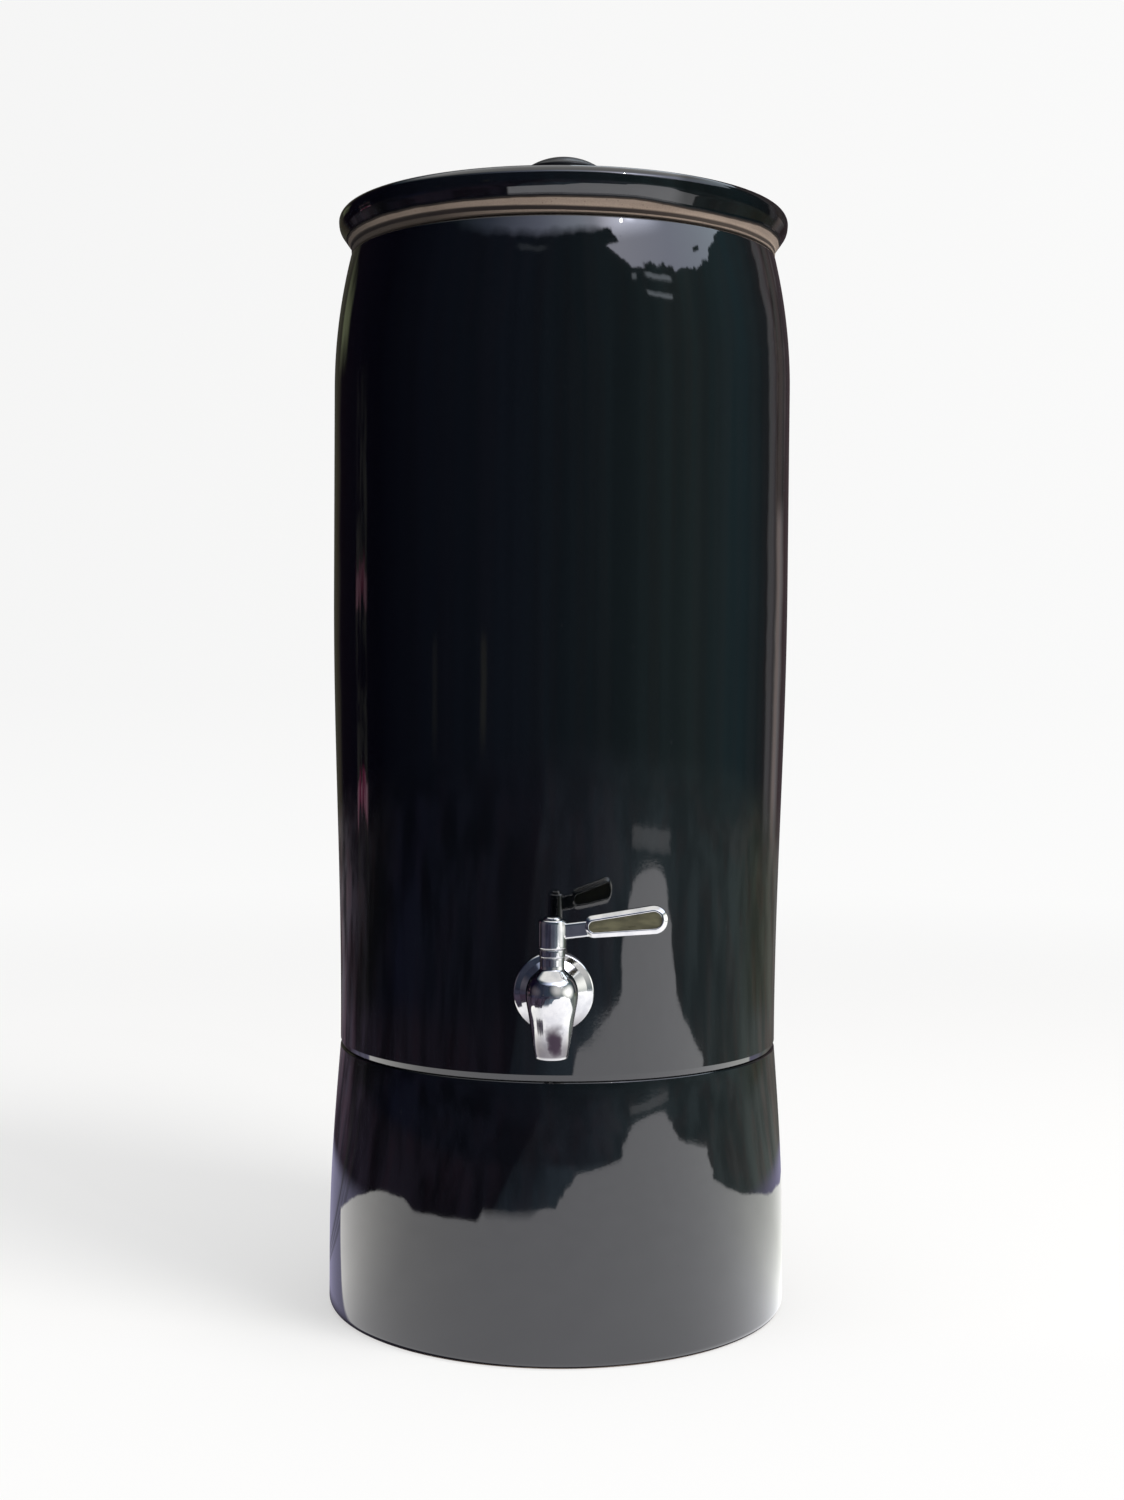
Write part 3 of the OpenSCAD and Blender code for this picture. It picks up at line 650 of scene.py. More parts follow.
def crock_glaze():
    """The crock is bare under its foot, on its ledge and on its rim."""
    sizes = settings().body
    rim_bare = RIM_Z - 0.05 * MM
    foot_bare = SEAM_Z - 0.4 * MM
    ledge_r = sizes.belly_r - sizes.mouth_in - sizes.rim_t + 0.8 * MM
    ledge_low = RIM_Z - sizes.ledge_drop - 1.2 * MM

    def bare(s):
        x, y, z = s.split(s.place())
        line = z + wander(s, 0.5 * MM)
        rim = above_line(line, rim_bare)
        foot = 1 - above_line(line, foot_bare)
        inside = 1 - (x * x + y * y).root().ramp(ledge_r, ledge_r + 0.1 * MM)
        ledge = inside * above_line(line, ledge_low)
        return rim.highest(foot).highest(ledge)

    return glazed_from("crock_glaze", bare)


def lid_glaze():
    """The lid is bare on the band where it rests on the crock; painted shade darkens that band low down,
    where it meets the crock, just under the glaze's edge and towards the left.

    The glaze has run a little lower on the right, where it is less bright, and ends in a dull dark edge.
    """
    line_z = RIM_Z + 7.8 * MM
    # The band of painted shade on the bare clay lies between these two heights.
    shade_band = (RIM_Z + 1.5 * MM, RIM_Z + 3.1 * MM)
    run_x, run_drop = 72 * MM, 1.2 * MM
    thin_from = 52 * MM

    def line(s):
        x, _, z = s.split(s.place())
        run = within(x, run_x, 8 * MM, 30 * MM) * run_drop
        return z + wander(s, 0.9 * MM, 60.0) + run

    def bare(s):
        return 1 - above_line(line(s), line_z, 0.12 * MM)

    def clay_masks(s):
        x, _, z = s.split(s.place())
        leftward = (0.02 - x).ramp(0.0, 0.10)
        height = z + wander(s, 0.6 * MM, 40.0) - leftward * 1.3 * MM
        low = above_line(height, shade_band[0], 0.2 * MM)
        high = height.ramp(shade_band[1] - 0.4 * MM, shade_band[1] + 1.0 * MM)
        # gap, edge and side are painted shade: at the bottom where the lid sits on the crock, on the clay
        # just under the glaze's edge, and more towards the left, away from the key lamp.
        gap = 1 - z.ramp(RIM_Z + 0.5 * MM, RIM_Z + 0.9 * MM)
        edge = line(s).ramp(line_z - 1.0 * MM, line_z - 0.4 * MM)
        side = leftward * (0.85 - high * 0.42) + (-0.07 - x).ramp(0.0, 0.045) * 0.38
        inside = low * (1 - high)
        # The first mask is all painted shade; the second paints the band black as deeper shade, less so to
        # the right, and the strip under the glaze's edge too.
        painted_shade = (inside * 1.1 + (1 - low) * 0.2 + gap + edge * 0.9 + side).lowest(1.0)
        return painted_shade, inside * (0.75 - x.ramp(0.02, 0.09) * 0.65) + edge * 0.6

    def glaze_masks(s):
        x = s.split(s.place())[0]
        bead = 1 - line(s).ramp(line_z - 0.1 * MM, line_z + 1.2 * MM, smooth=False)
        matte = 1 - line(s).ramp(line_z + 0.4 * MM, line_z + 0.7 * MM)
        thin = (x + wander(s, 12.0 * MM, 40.0)).ramp(thin_from, thin_from + 10 * MM)
        return bead, thin.highest(matte), matte

    return glazed_from("lid_glaze", bare, clay_masks, glaze_masks)


def knob_glaze():
    """The knob has the lid's glaze, a little duller from handling."""

    def build(s):
        colours = settings().finish
        at = s.place()
        waves = s.bump(s.grain(at, 40.0, 2.0), 0.2 * MM)
        return s.surface(
            Base_Color=s.blend(s.grain(at, 60.0, 3.0), colours.glaze, colours.glaze_cool),
            Roughness=s.grain(at, 80.0, 3.0) * 0.16 + 0.30,
            IOR=1.5,
            Coat_Weight=0.25,
            Coat_Roughness=0.2,
            Normal=waves,
        )

    return material("knob_glaze", build)


def pot_glaze():
    """The filter pot is bare on its flange, where it sits in the crock."""
    flange_low = POT_BOX[1].z - 6.8 * MM

    def bare(s):
        z = s.split(s.place())[2]
        return above_line(z + wander(s, 0.8 * MM), flange_low)

    return glazed_from("pot_glaze", bare)


def chrome():
    """Bright plating with slow waves and faint wiping marks, and a painted dark reflection towards the
    spout's mouth and in an oval in front of it.
    """

    def build(s):
        colours = settings().finish
        at = s.place()
        wipes = s.grain(s.stretch(at, (1.0, 1.0, 0.15)), 900.0, 2.0)
        smear = s.grain(at, 160.0, 3.0)
        polish = s.bump(s.grain(at, 120.0, 1.0), 0.02 * MM)
        x, _, z = s.split(at)
        mouth_z = TAP_BOX[0].z
        high = z + wander(s, 3.0 * MM, 120.0)
        # Painted dark reflection: dull darkens the lower spout and stain an oval in front of it, and the
        # mouth's very edge is left brighter.
        dull = (1 - high.ramp(mouth_z + 4.0 * MM, mouth_z + 17.0 * MM)) * 0.75
        dark_oval_x, dark_oval_z = SPOUT_X + 1.4 * MM, mouth_z + 8.0 * MM
        dark_oval_w, dark_oval_h = 4.6 * MM, 9.0 * MM
        aside = (x - dark_oval_x + wander(s, 9.0 * MM, 150.0)) / dark_oval_w
        above = (high - dark_oval_z) / dark_oval_h
        stain = 1 - (aside * aside + above * above).ramp(0.1, 1.5)
        painted_dark = dull.highest(stain) * (z.ramp(mouth_z + 0.6 * MM, mouth_z + 1.8 * MM) * 0.8 + 0.2)
        bright = s.blend(smear.ramp(0.35, 0.75), colours.chrome, colours.chrome_smeared)
        return s.surface(
            Base_Color=s.blend(painted_dark, bright, colours.mouth_dark_reflection),
            Metallic=1.0,
            Roughness=smear.ramp(0.4, 0.8) * 0.04 + wipes * 0.03 + 0.045,
            Normal=polish,
        )

    return material("chrome", build)


def steel():
    """Brushed steel."""

    def build(s):
        colours = settings().finish
        at = s.place()
        brush = s.grain(s.stretch(at, (0.25, 1.0, 1.0)), 2400.0, 2.0)
        return s.surface(
            Base_Color=s.blend(brush, colours.steel, colours.steel_dark),
            Metallic=1.0,
            Roughness=brush * 0.18 + 0.22,
            Normal=s.bump(brush, 0.01 * MM),
        )

    return material("steel", build)


def moulded(name, colour, roughness, depth=0.02 * MM):
    """Moulded plastic or rubber with a faint texture and slight shifts of tone."""

    def build(s):
        at = s.place()
        fine = s.grain(at, 2600.0, 2.0)
        slow = s.grain(at, 70.0, 3.0)
        return s.surface(
            Base_Color=s.blend(slow.ramp(0.3, 0.8) * 0.6, colour, dimmed(colour, 0.78)),
            Roughness=slow * 0.12 + roughness,
            IOR=1.46,
            Normal=s.bump(fine, depth),
        )

    return material(name, build)


def inlay_finish():
    """Olive inlay: clear over a mottled tone."""

    def build(s):
        colours = settings().finish
        at = s.place()
        drift = s.grain(s.stretch(at, (0.5, 1.0, 1.6)), 190.0, 3.0)
        return s.surface(
            Base_Color=s.blend(drift.ramp(0.38, 0.66), dimmed(colours.inlay, 0.6), colours.inlay),
            Roughness=drift * 0.15 + 0.22,
            IOR=1.5,
            Coat_Weight=0.5,
            Coat_Roughness=0.08,
            Normal=s.bump(drift, 0.05 * MM),
        )

    return material("olive_inlay", build)


def dome_ceramic():
    """Porous white ceramic with casting rings and faint stains."""

    def build(s):
        colours = settings().finish
        at = s.place()
        pores = s.cells(at, 900.0).ramp(0.1, 0.5)
        rings = s.grain(s.stretch(at, (0.1, 0.1, 6.0)), 160.0, 3.0)
        stain = s.grain(at, 28.0, 4.0).ramp(0.45, 0.8)
        darker = tuple(part * factor for part, factor in zip(colours.dome, (0.86, 0.80, 0.70)))
        return s.surface(
            Base_Color=s.blend(stain * 0.7, colours.dome, darker),
            Roughness=0.82,
            Normal=s.bump(pores * 0.5 + rings * 0.5, 0.1 * MM),
        )

    return material("filter_ceramic", build)


def clear_tube():
    """Clear moulded plastic."""

    def build(s):
        at = s.place()
        return s.surface(
            Base_Color=(0.86, 0.94, 0.96),
            Roughness=s.grain(at, 90.0, 2.0) * 0.05 + 0.02,
            IOR=1.32,
            Transmission_Weight=1.0,
            Normal=s.bump(s.grain(at, 60.0, 1.0), 0.03 * MM),
        )

    return material("clear_tube", build)


def granules(name, light, dark, size, depth, roughness=0.8):
    """A bed of grains of that size in metres."""

    def build(s):
        at = s.place()
        shape = s.cells(at, 1 / size).ramp(0.0, 0.75, smooth=False)
        pick = s.split(s.cells(at, 1 / size, output="Color"))[0]
        # Each grain is darker towards its edge, where it meets the next: painted shade between the grains.
        tone = (pick * 0.75 + shape * 0.45).lowest(1.0)
        return s.surface(
            Base_Color=s.blend(tone, light, dark),
            Roughness=roughness,
            Normal=s.bump(1 - shape, depth),
        )

    return material(name, build)


def felt():
    """White felt pads."""

    def build(s):
        at = s.place()
        hair = s.grain(s.stretch(at, (1.0, 1.0, 2.5)), 2200.0, 4.0, 0.7)
        return s.surface(
            Base_Color=s.blend(hair.ramp(0.3, 0.75), (0.84, 0.84, 0.80), (0.58, 0.58, 0.54)),
            Roughness=0.95,
            Normal=s.bump(hair, 0.25 * MM),
        )

    return material("felt", build)


# ---- Stoneware ----


def ease(low, high, share):
    """From low to high along half a cosine."""
    return low + (high - low) * (1 - math.cos(math.pi * share)) / 2


def crock_radius(h):
    """Outer radius of the crock at height h above its seat."""
    sizes = settings().body
    crock_h = RIM_Z - SEAM_Z
    waist = sizes.belly_r - sizes.waist_in
    shoulder_h = crock_h - sizes.shoulder
    if h <= sizes.waist_h:
        return waist
    if h < sizes.belly_h:
        return ease(waist, sizes.belly_r, (h - sizes.waist_h) / (sizes.belly_h - sizes.waist_h))
    if h <= shoulder_h:
        return sizes.belly_r
    return sizes.belly_r - sizes.mouth_in * ((h - shoulder_h) / sizes.shoulder) ** 2


def stand_radius(z):
    """Outer radius of the stand at height z."""
    sizes = settings().body
    foot = sizes.belly_r + sizes.stand_flare
    seam = sizes.belly_r - sizes.waist_in
    if z <= sizes.stand_straight:
        return foot
    share = (z - sizes.stand_straight) / (SEAM_Z - sizes.stand_straight)
    return foot - (foot - seam) * (1 - math.cos(math.pi / 2 * share))


def smooth_line(points, steps):
    """A smooth line through (radius, height) points, without its last point."""
    places = [Vector(point) for point in points]
    ends = [places[0] * 2 - places[1]] + places + [places[-1] * 2 - places[-2]]
    line = []
    for i in range(1, len(places)):
        before, start, end, after = ends[i - 1 : i + 3]
        for k in range(steps):
            t = k / steps
            square = 2 * before - 5 * start + 4 * end - after
            cube = 3 * start - before - 3 * end + after
            line.append(start + ((end - before) * t + square * t * t + cube * t**3) / 2)
    return line


def heights(low, high, longest):
    """Evenly spaced heights from low to high, both included."""
    parts = max(1, math.ceil((high - low) / longest))
    return [low + (high - low) * i / parts for i in range(parts + 1)]


class WATERFILTER_OT_stand(bpy.types.Operator):
    """Ring stand that lifts the crock"""

    bl_idname = "waterfilter.stand"
    bl_label = "Stand"

    def execute(self, context):
        sizes = settings().body
        foot_r = sizes.belly_r + sizes.stand_flare
        seam_r = sizes.belly_r - sizes.waist_in
        lip = 1.5 * MM
        wall = heights(sizes.stand_straight, SEAM_Z, 4 * MM)[:-1]
        corners = [(foot_r - sizes.stand_wall, 0.0, lip), (foot_r, 0.0, 4 * MM)]
        corners += [(stand_radius(z), z, 0.0) for z in wall]
        corners += [(seam_r, SEAM_Z, 0.8 * MM), (seam_r - sizes.stand_wall, SEAM_Z, lip)]
        corners += [(stand_radius(z) - sizes.stand_wall, z, 0.0) for z in reversed(wall)]
        piece = turned("stand_ring", corners, upright(), longest=4 * MM)
        finish(piece, stand_glaze(), "stand", ["stand"], "glaze")
        return {"FINISHED"}


class WATERFILTER_OT_crock(bpy.types.Operator):
    """Crock that stores the filtered water"""

    bl_idname = "waterfilter.crock"
    bl_label = "Crock"

    def execute(self, context):
        sizes = settings().body
        crock_h = RIM_Z - SEAM_Z
        waist_r = sizes.belly_r - sizes.waist_in
        mouth_r = sizes.belly_r - sizes.mouth_in
        rim_in = mouth_r - sizes.rim_t
        ledge_in = rim_in - sizes.ledge_w
        ledge_h = crock_h - sizes.ledge_drop
        taper_top = ledge_h - sizes.ledge_t
        wall_top = taper_top - (crock_radius(taper_top) - sizes.crock_wall - ledge_in)
        ring_r = waist_r - sizes.stand_wall - sizes.foot_ring_gap
        ring_h = SEAM_Z - CROCK_BOX[0].z
        outer = heights(sizes.waist_h, crock_h, 4 * MM)[:-1]
        inner_low = sizes.crock_floor + 2 * sizes.floor_round
        inner = [h for h in reversed(outer) if inner_low < h < wall_top - 1 * MM]
        ring_in = ring_r - sizes.foot_ring_w
        corners = [
            (0.0, -ring_h / 2, 0.0),
            (ring_in, -ring_h / 2, 1 * MM),
            (ring_in, -ring_h, 1 * MM),
            (ring_r, -ring_h, 1 * MM),
            (ring_r, 0.0, 0.0),
            (waist_r - 1 * MM, 0.0, 0.6 * MM),
            (waist_r, 3.3 * MM, 1.2 * MM),
        ]
        corners += [(crock_radius(h), h, 0.0) for h in outer]
        corners += [
            (mouth_r, crock_h, 2 * MM),
            (rim_in, crock_h, 1.5 * MM),
            (rim_in, ledge_h, 1 * MM),
            (ledge_in, ledge_h, 1.5 * MM),
            (ledge_in, taper_top, 2 * MM),
            (crock_radius(wall_top) - sizes.crock_wall, wall_top, 0.0),
        ]
        corners += [(crock_radius(h) - sizes.crock_wall, h, 0.0) for h in inner]
        corners += [
            (waist_r - sizes.crock_wall, sizes.crock_floor, sizes.floor_round),
            (0.0, sizes.crock_floor, 0.0),
        ]
        piece = turned("crock_body", corners, upright(0, 0, SEAM_Z), longest=4 * MM)
        finish(piece, crock_glaze(), "crock", ["crock"], "glaze")
        return {"FINISHED"}


class WATERFILTER_OT_lid(bpy.types.Operator):
    """Lid with its rolled edge and bare clay band"""

    bl_idname = "waterfilter.lid"
    bl_label = "Lid"

    def execute(self, context):
        sizes = settings().body
        mouth_r = sizes.belly_r - sizes.mouth_in
        lid_r = mouth_r + sizes.lid_overhang
        ledge_in = mouth_r - sizes.rim_t - sizes.ledge_w
        ring_out = ledge_in - sizes.pot_gap - sizes.pot_wall - sizes.lid_ring_gap
        ring_in = ring_out - sizes.lid_ring_w
        ring_low = LID_BOX[0].z - RIM_Z
        top = LID_BOX[1].z - RIM_Z
        under = sizes.lid_edge_h - sizes.lid_t
        edge = sizes.lid_edge_h
        seat_in = mouth_r - sizes.lid_seat_w
        recess = under - 3 * MM
        knob_seat = sizes.knob_waist + 2 * MM
        corners = [
            (0.0, under, 0.0),
            (ring_in, under, 3 * MM),
            (ring_in, ring_low, 1.5 * MM),
            (ring_out, ring_low, 1.5 * MM),
            (ring_out, recess, 1.5 * MM),
            (seat_in, recess, 1.5 * MM),
            (seat_in, 0.0, 1 * MM),
            (mouth_r, 0.0, 1.8 * MM),
            (mouth_r, sizes.lid_foot_h, 4 * MM),
            (lid_r - 0.8 * MM, edge * 0.6, 8 * MM),
            (lid_r, edge, 5 * MM),
            (lid_r - 14 * MM, edge, 20 * MM),
            (knob_seat, top, 6 * MM),
            (0.0, top, 0.0),
        ]
        piece = turned("lid_plate", corners, upright(0, 0, RIM_Z), longest=3 * MM, arc_steps=14)
        finish(piece, lid_glaze(), "lid", ["lid"], "lid_glaze")
        return {"FINISHED"}


class WATERFILTER_OT_knob(bpy.types.Operator):
    """Knob of the lid"""

    bl_idname = "waterfilter.knob"
    bl_label = "Lid knob"

    def execute(self, context):
        sizes = settings().body
        height = KNOB_BOX[1].z - KNOB_BOX[0].z
        r = KNOB_BOX[1].x
        crown_r = (r * r + sizes.knob_crown**2) / (2 * sizes.knob_crown)
        widest = math.asin(r / crown_r)
        corners = [
            (0.0, 0.0, 0.0),
            (sizes.knob_waist + 1 * MM, 0.0, 0.0),
            (sizes.knob_waist - 1 * MM, height * 0.34, 7 * MM),
            (r, height * 0.58, 3 * MM),
            (r, height - sizes.knob_crown, 1.5 * MM),
        ]
        crown_steps = 24
        for i in range(1, crown_steps + 1):
            a = widest * (1 - i / crown_steps)
            corners.append((crown_r * math.sin(a), height - crown_r * (1 - math.cos(a)), 0.0))
        piece = turned("knob", corners, upright(0, 0, KNOB_BOX[0].z), 2 * MM, SMALL_STEPS)
        finish(piece, knob_glaze(), "lid", ["lid_knob"], "lid_glaze")
        return {"FINISHED"}


class WATERFILTER_OT_pot(bpy.types.Operator):
    """Filter pot that hangs in the crock's mouth"""

    bl_idname = "waterfilter.pot"
    bl_label = "Filter pot"

    def execute(self, context):
        sizes = settings().body
        low, high = POT_BOX[0].z, POT_BOX[1].z
        flange_r = POT_BOX[1].x
        pot_r = sizes.belly_r - sizes.mouth_in - sizes.rim_t - sizes.ledge_w - sizes.pot_gap
        ledge = RIM_Z - sizes.ledge_drop - low
        hole = 8.5 * MM
        corners = [
            (hole, 0.0, 0.5 * MM),
            (pot_r - sizes.pot_taper, 0.0, 5 * MM),
            (pot_r, ledge, 0.0),
            (flange_r, ledge, 1 * MM),
            (flange_r, high - low, 2 * MM),
            (pot_r - sizes.pot_wall, high - low, 2 * MM),
            (pot_r - sizes.pot_taper - sizes.pot_wall, sizes.pot_floor, 10 * MM),
            (hole, sizes.pot_floor, 0.5 * MM),
        ]
        piece = turned("pot_bowl", corners, upright(0, 0, low), longest=5 * MM)
        finish(piece, pot_glaze(), "filter_pot", ["filter_pot"], "glaze")
        return {"FINISHED"}


class WATERFILTER_OT_dome(bpy.types.Operator):
    """Porous ceramic dome"""

    bl_idname = "waterfilter.dome"
    bl_label = "Ceramic dome"

    def execute(self, context):
        sizes = settings().body
        r = DOME_BOX[1].y
        height = DOME_BOX[1].z - DOME_BOX[0].z

        def line(radius, top):
            straight = top * 0.42
            steps = 40
            turn = [math.pi / 2 * i / steps for i in range(steps)]
            arc = [(radius * math.cos(a), straight + (top - straight) * math.sin(a), 0.0) for a in turn]
            return arc + [(0.0, top, 0.0)]

        inner = line(r - sizes.dome_wall, height - sizes.dome_wall)
        outer = line(r, height)
        corners = [(r - sizes.dome_wall, 0.0, 0.0), (r, 0.0, 0.8 * MM)] + outer + inner[::-1]
        piece = turned("dome_shell", corners, upright(0, 0, DOME_BOX[0].z), 4 * MM, FINE_STEPS)
        finish(piece, dome_ceramic(), "filter_pot", ["ceramic_dome"], "filter_ceramic")
        return {"FINISHED"}


# ---- Tap ----


class WATERFILTER_OT_tap(bpy.types.Operator):
    """Spout, throat and shank of the tap"""

    bl_idname = "waterfilter.tap"
    bl_label = "Tap body"

    def execute(self, context):
        sizes = settings().tap
        belly = TAP_BOX[1].x
        drop = SHANK_Z - TAP_BOX[0].z
        neck_h = TAP_BOX[1].z - SHANK_Z
        spread = belly - sizes.mouth_r
        top = sizes.shoulder_h
        outer = [
            (sizes.mouth_r + spread * 0.03, -drop * 0.92),
            (sizes.mouth_r + spread * 0.33, -drop * 0.60),
            (sizes.mouth_r + spread * 0.66, -drop * 0.18),
            (sizes.mouth_r + spread * 0.92, top * 0.13),
            (belly - 0.06 * MM, top * 0.38),
            (belly - spread * 0.14, top * 0.58),
            (belly - spread * 0.46, top * 0.76),
            (sizes.neck_r + spread * 0.40, top * 0.90),
            (sizes.neck_r + spread * 0.06, top * 0.99),
            (sizes.neck_r, top * 1.06),
        ]
        corners = [
            (sizes.bore_r, -drop + sizes.bore_depth, 0.0),
            (sizes.bore_r, -drop, 0.7 * MM),
            (sizes.mouth_r - 0.15 * MM, -drop, 0.9 * MM),
        ]
        corners += [(point.x, point.y, 0.0) for point in smooth_line(outer, 10)]
        corners += [
            (sizes.neck_r, top * 1.06, 0.0),
            (sizes.neck_r, neck_h, 0.4 * MM),
            (0.0, neck_h, 0.0),
            (0.0, -drop + sizes.bore_depth, 0.0),
        ]
        spout = divided(rounded(corners, 8), 1 * MM)
        flange_y = FLANGE_BOX[0].y
        throat_l = flange_y - SPOUT_Y
        inside_spout = sizes.throat_r + 2.2 * MM
        collar = sizes.shank_r + 0.8 * MM
        collar_h = 3 * MM
        throat = [
            (0.0, 0.0, 0.0),
            (0.0, throat_l, 0.0),
            (inside_spout, throat_l, 0.0),
            (inside_spout, throat_l * 0.6, 6 * MM),
            (sizes.throat_r, throat_l * 0.5, 8 * MM),
            (sizes.throat_r, collar_h + 0.2 * MM, 1 * MM),
            (collar, collar_h, 0.5 * MM),
            (collar, 0.0, 0.3 * MM),
        ]
        throat = divided(rounded(throat, 8), 1 * MM)
        shank_l = TAP_BOX[1].y - flange_y
        root = sizes.shank_r - 0.6 * MM
        plain = 12 * MM
        turns = int((shank_l - plain) / sizes.shank_pitch)
        start = shank_l - turns * sizes.shank_pitch
        thread = [Vector((0.0, -shank_l)), Vector((0.0, 0.0)), Vector((root, 0.0)), Vector((root, -start))]
        for i in range(turns):
            base = start + i * sizes.shank_pitch
            thread.append(Vector((sizes.shank_r, -base - sizes.shank_pitch * 0.35)))
            thread.append(Vector((sizes.shank_r, -base - sizes.shank_pitch * 0.65)))
            thread.append(Vector((root, -base - sizes.shank_pitch)))

        def build(bm):
            turn_outline(bm, spout, upright(SPOUT_X, SPOUT_Y, SHANK_Z), FINE_STEPS)
            turn_outline(bm, throat, outward(flange_y, SHANK_Z), SMALL_STEPS)
            turn_outline(bm, thread, outward(flange_y, SHANK_Z), CORE_STEPS)

        piece = new_object("tap_spout", build)
        weigh_normals(piece)
        finish(piece, chrome(), "crock", ["tap_body"], "chrome")
        return {"FINISHED"}


class WATERFILTER_OT_tap_trim(bpy.types.Operator):
    """Flange plate, bonnet ring, washers, nut and bush of the tap"""

    bl_idname = "waterfilter.tap_trim"
    bl_label = "Tap flange and fittings"

    def execute(self, context):
        sizes = settings().tap
        finishes = settings().finish
        r = FLANGE_BOX[1].x
        depth = FLANGE_BOX[1].y - FLANGE_BOX[0].y
        bore = sizes.shank_r + 0.05 * MM
        corners = [
            (bore, 0.0, 0.0),
            (r, 0.0, 0.5 * MM),
            (r, 1.9 * MM, 1.3 * MM),
            (r - 3.2 * MM, 3.1 * MM, 3 * MM),
            (bore + 2.4 * MM, depth, 1 * MM),
            (bore, depth, 0.0),
        ]
        against_crock = outward(FLANGE_BOX[1].y, SHANK_Z)
        flange = turned("tap_rosette", corners, against_crock, 1 * MM, FINE_STEPS, arc_steps=12)
        finish(flange, chrome(), "crock", ["tap_flange"], "chrome")
        ring_r = BONNET_BOX[1].x
        ring_h = BONNET_BOX[1].z - BONNET_BOX[0].z
        stem_hole = 4.1 * MM
        corners = [
            (stem_hole, 0.0, 0.0),
            (ring_r, 0.0, 0.35 * MM),
            (ring_r, ring_h, 0.45 * MM),
            (stem_hole, ring_h, 0.0),
        ]
        on_neck = upright(SPOUT_X, SPOUT_Y, BONNET_BOX[0].z)
        ring = turned("bonnet", corners, on_neck, 1 * MM, SMALL_STEPS)
        finish(ring, chrome(), "crock", ["bonnet_ring"], "chrome")
        dress("tap_outer_washer", moulded("silicone", tuple(finishes.silicone), 0.5))
        dress("tap_inner_washer", moulded("silicone", tuple(finishes.silicone), 0.5))
        dress("tap_nut", steel())
        dress("valve_sleeve", moulded("white_bush", tuple(finishes.bush), 0.35))
        return {"FINISHED"}


def paddle_line(inset, count=72):
    """The paddle's outline, drawn in by inset, as (along, up) points and their outward directions."""
    sizes = settings().tap
    near_r = sizes.paddle_near / 2
    far_r = sizes.paddle_far / 2
    near = sizes.paddle_start + near_r
    far = sizes.lever_l - far_r
    lean = math.asin((far_r - near_r) / (far - near))
    points = []
    for i in range(count + 1):
        a = -math.pi / 2 - lean + (math.pi + 2 * lean) * i / count
        points.append((far, far_r - inset, a))
    for i in range(count + 1):
        a = math.pi / 2 + lean + (math.pi - 2 * lean) * i / count
        points.append((near, near_r - inset, a))
    line = []
    for centre, radius, a in points:
        out = Vector((math.cos(a), math.sin(a)))
        line.append((Vector((centre, 0.0)) + out * radius, out))
    return line


def lever_place(along, across, up):
    """A point of the lever's own drawing in the frame: tilted, and set on the hub."""
    sizes = settings().tap
    cos_t, sin_t = math.cos(sizes.tilt), math.sin(sizes.tilt)
    hub_mid = LEVER_BOX[0].z + sizes.hub_h / 2 + sizes.lever_rise
    return Vector(
        (SPOUT_X + along * cos_t - up * sin_t, SPOUT_Y + across, hub_mid + along * sin_t + up * cos_t)
    )


def paddle_frame(bm):
    """The rounded frame of the paddle, swept round its outline."""
    sizes = settings().tap
    wide = sizes.paddle_frame
    thick = sizes.paddle_t
    slope = 1.5 * MM
    section = rounded(
        [
            (-wide / 2, -thick / 2, 0.45 * MM),
            (-wide * 0.2, -thick / 2, 1.2 * MM),
            (wide / 2, -thick / 2 + slope, 0.6 * MM),
            (wide / 2, thick / 2 - slope, 0.6 * MM),
            (-wide * 0.2, thick / 2, 1.2 * MM),
            (-wide / 2, thick / 2, 0.45 * MM),
        ],
        6,
    )
    section = divided(section, 0.8 * MM)
    loops = []
    for point, out in paddle_line(wide / 2):
        loop = []
        for step in section:
            at = point + out * step.x
            loop.append(bm.verts.new(lever_place(at.x, step.y, at.y)))
        loops.append(loop)
    for i, loop in enumerate(loops):
        bridge(bm, loop, loops[(i + 1) % len(loops)])


def lever_arm(bm):
    """The flat arm between the hub and the paddle, with soft edges."""
    sizes = settings().tap
    half = sizes.arm_t / 2
    low, high, soft = -4.2 * MM, 3.0 * MM, 0.9 * MM
    end = sizes.paddle_start + sizes.paddle_frame
    corners = [(-half, low, soft), (half, low, soft), (half, high, soft), (-half, high, soft)]
    section = divided(rounded(corners, 5), 0.8 * MM)
    parts = 12
    loops = []
    for i in range(parts + 1):
        along = end * i / parts
        loops.append([bm.verts.new(lever_place(along, step.x, step.y)) for step in section])
    for loop, following in zip(loops, loops[1:]):
        bridge(bm, loop, following)
    bm.faces.new(loops[0])
    bm.faces.new(loops[-1])


class WATERFILTER_OT_lever(bpy.types.Operator):
    """Lever with its hub, looped paddle, inlay and screw"""

    bl_idname = "waterfilter.lever"
    bl_label = "Lever"

    def execute(self, context):
        sizes = settings().tap
        hub = [
            (0.0, 0.0, 0.0),
            (sizes.hub_r, 0.0, 0.6 * MM),
            (sizes.hub_r, sizes.hub_h, 0.9 * MM),
            (0.0, sizes.hub_h, 0.0),
        ]
        hub = divided(rounded(hub, 8), 1 * MM)

        def build(bm):
            turn_outline(bm, hub, upright(SPOUT_X, SPOUT_Y, LEVER_BOX[0].z), SMALL_STEPS)
            paddle_frame(bm)
            lever_arm(bm)

        piece = new_object("lever_loop", build)
        weigh_normals(piece)
        finish(piece, chrome(), "lever", ["lever"], "chrome")
        dress("lever_inlay", inlay_finish())
        dress("lever_screw", chrome())
        dress("valve_stem", steel())
        dress("stem_o_rings", moulded("black_rubber", (0.012, 0.012, 0.012), 0.45))
        return {"FINISHED"}


# ---- Filter parts ----


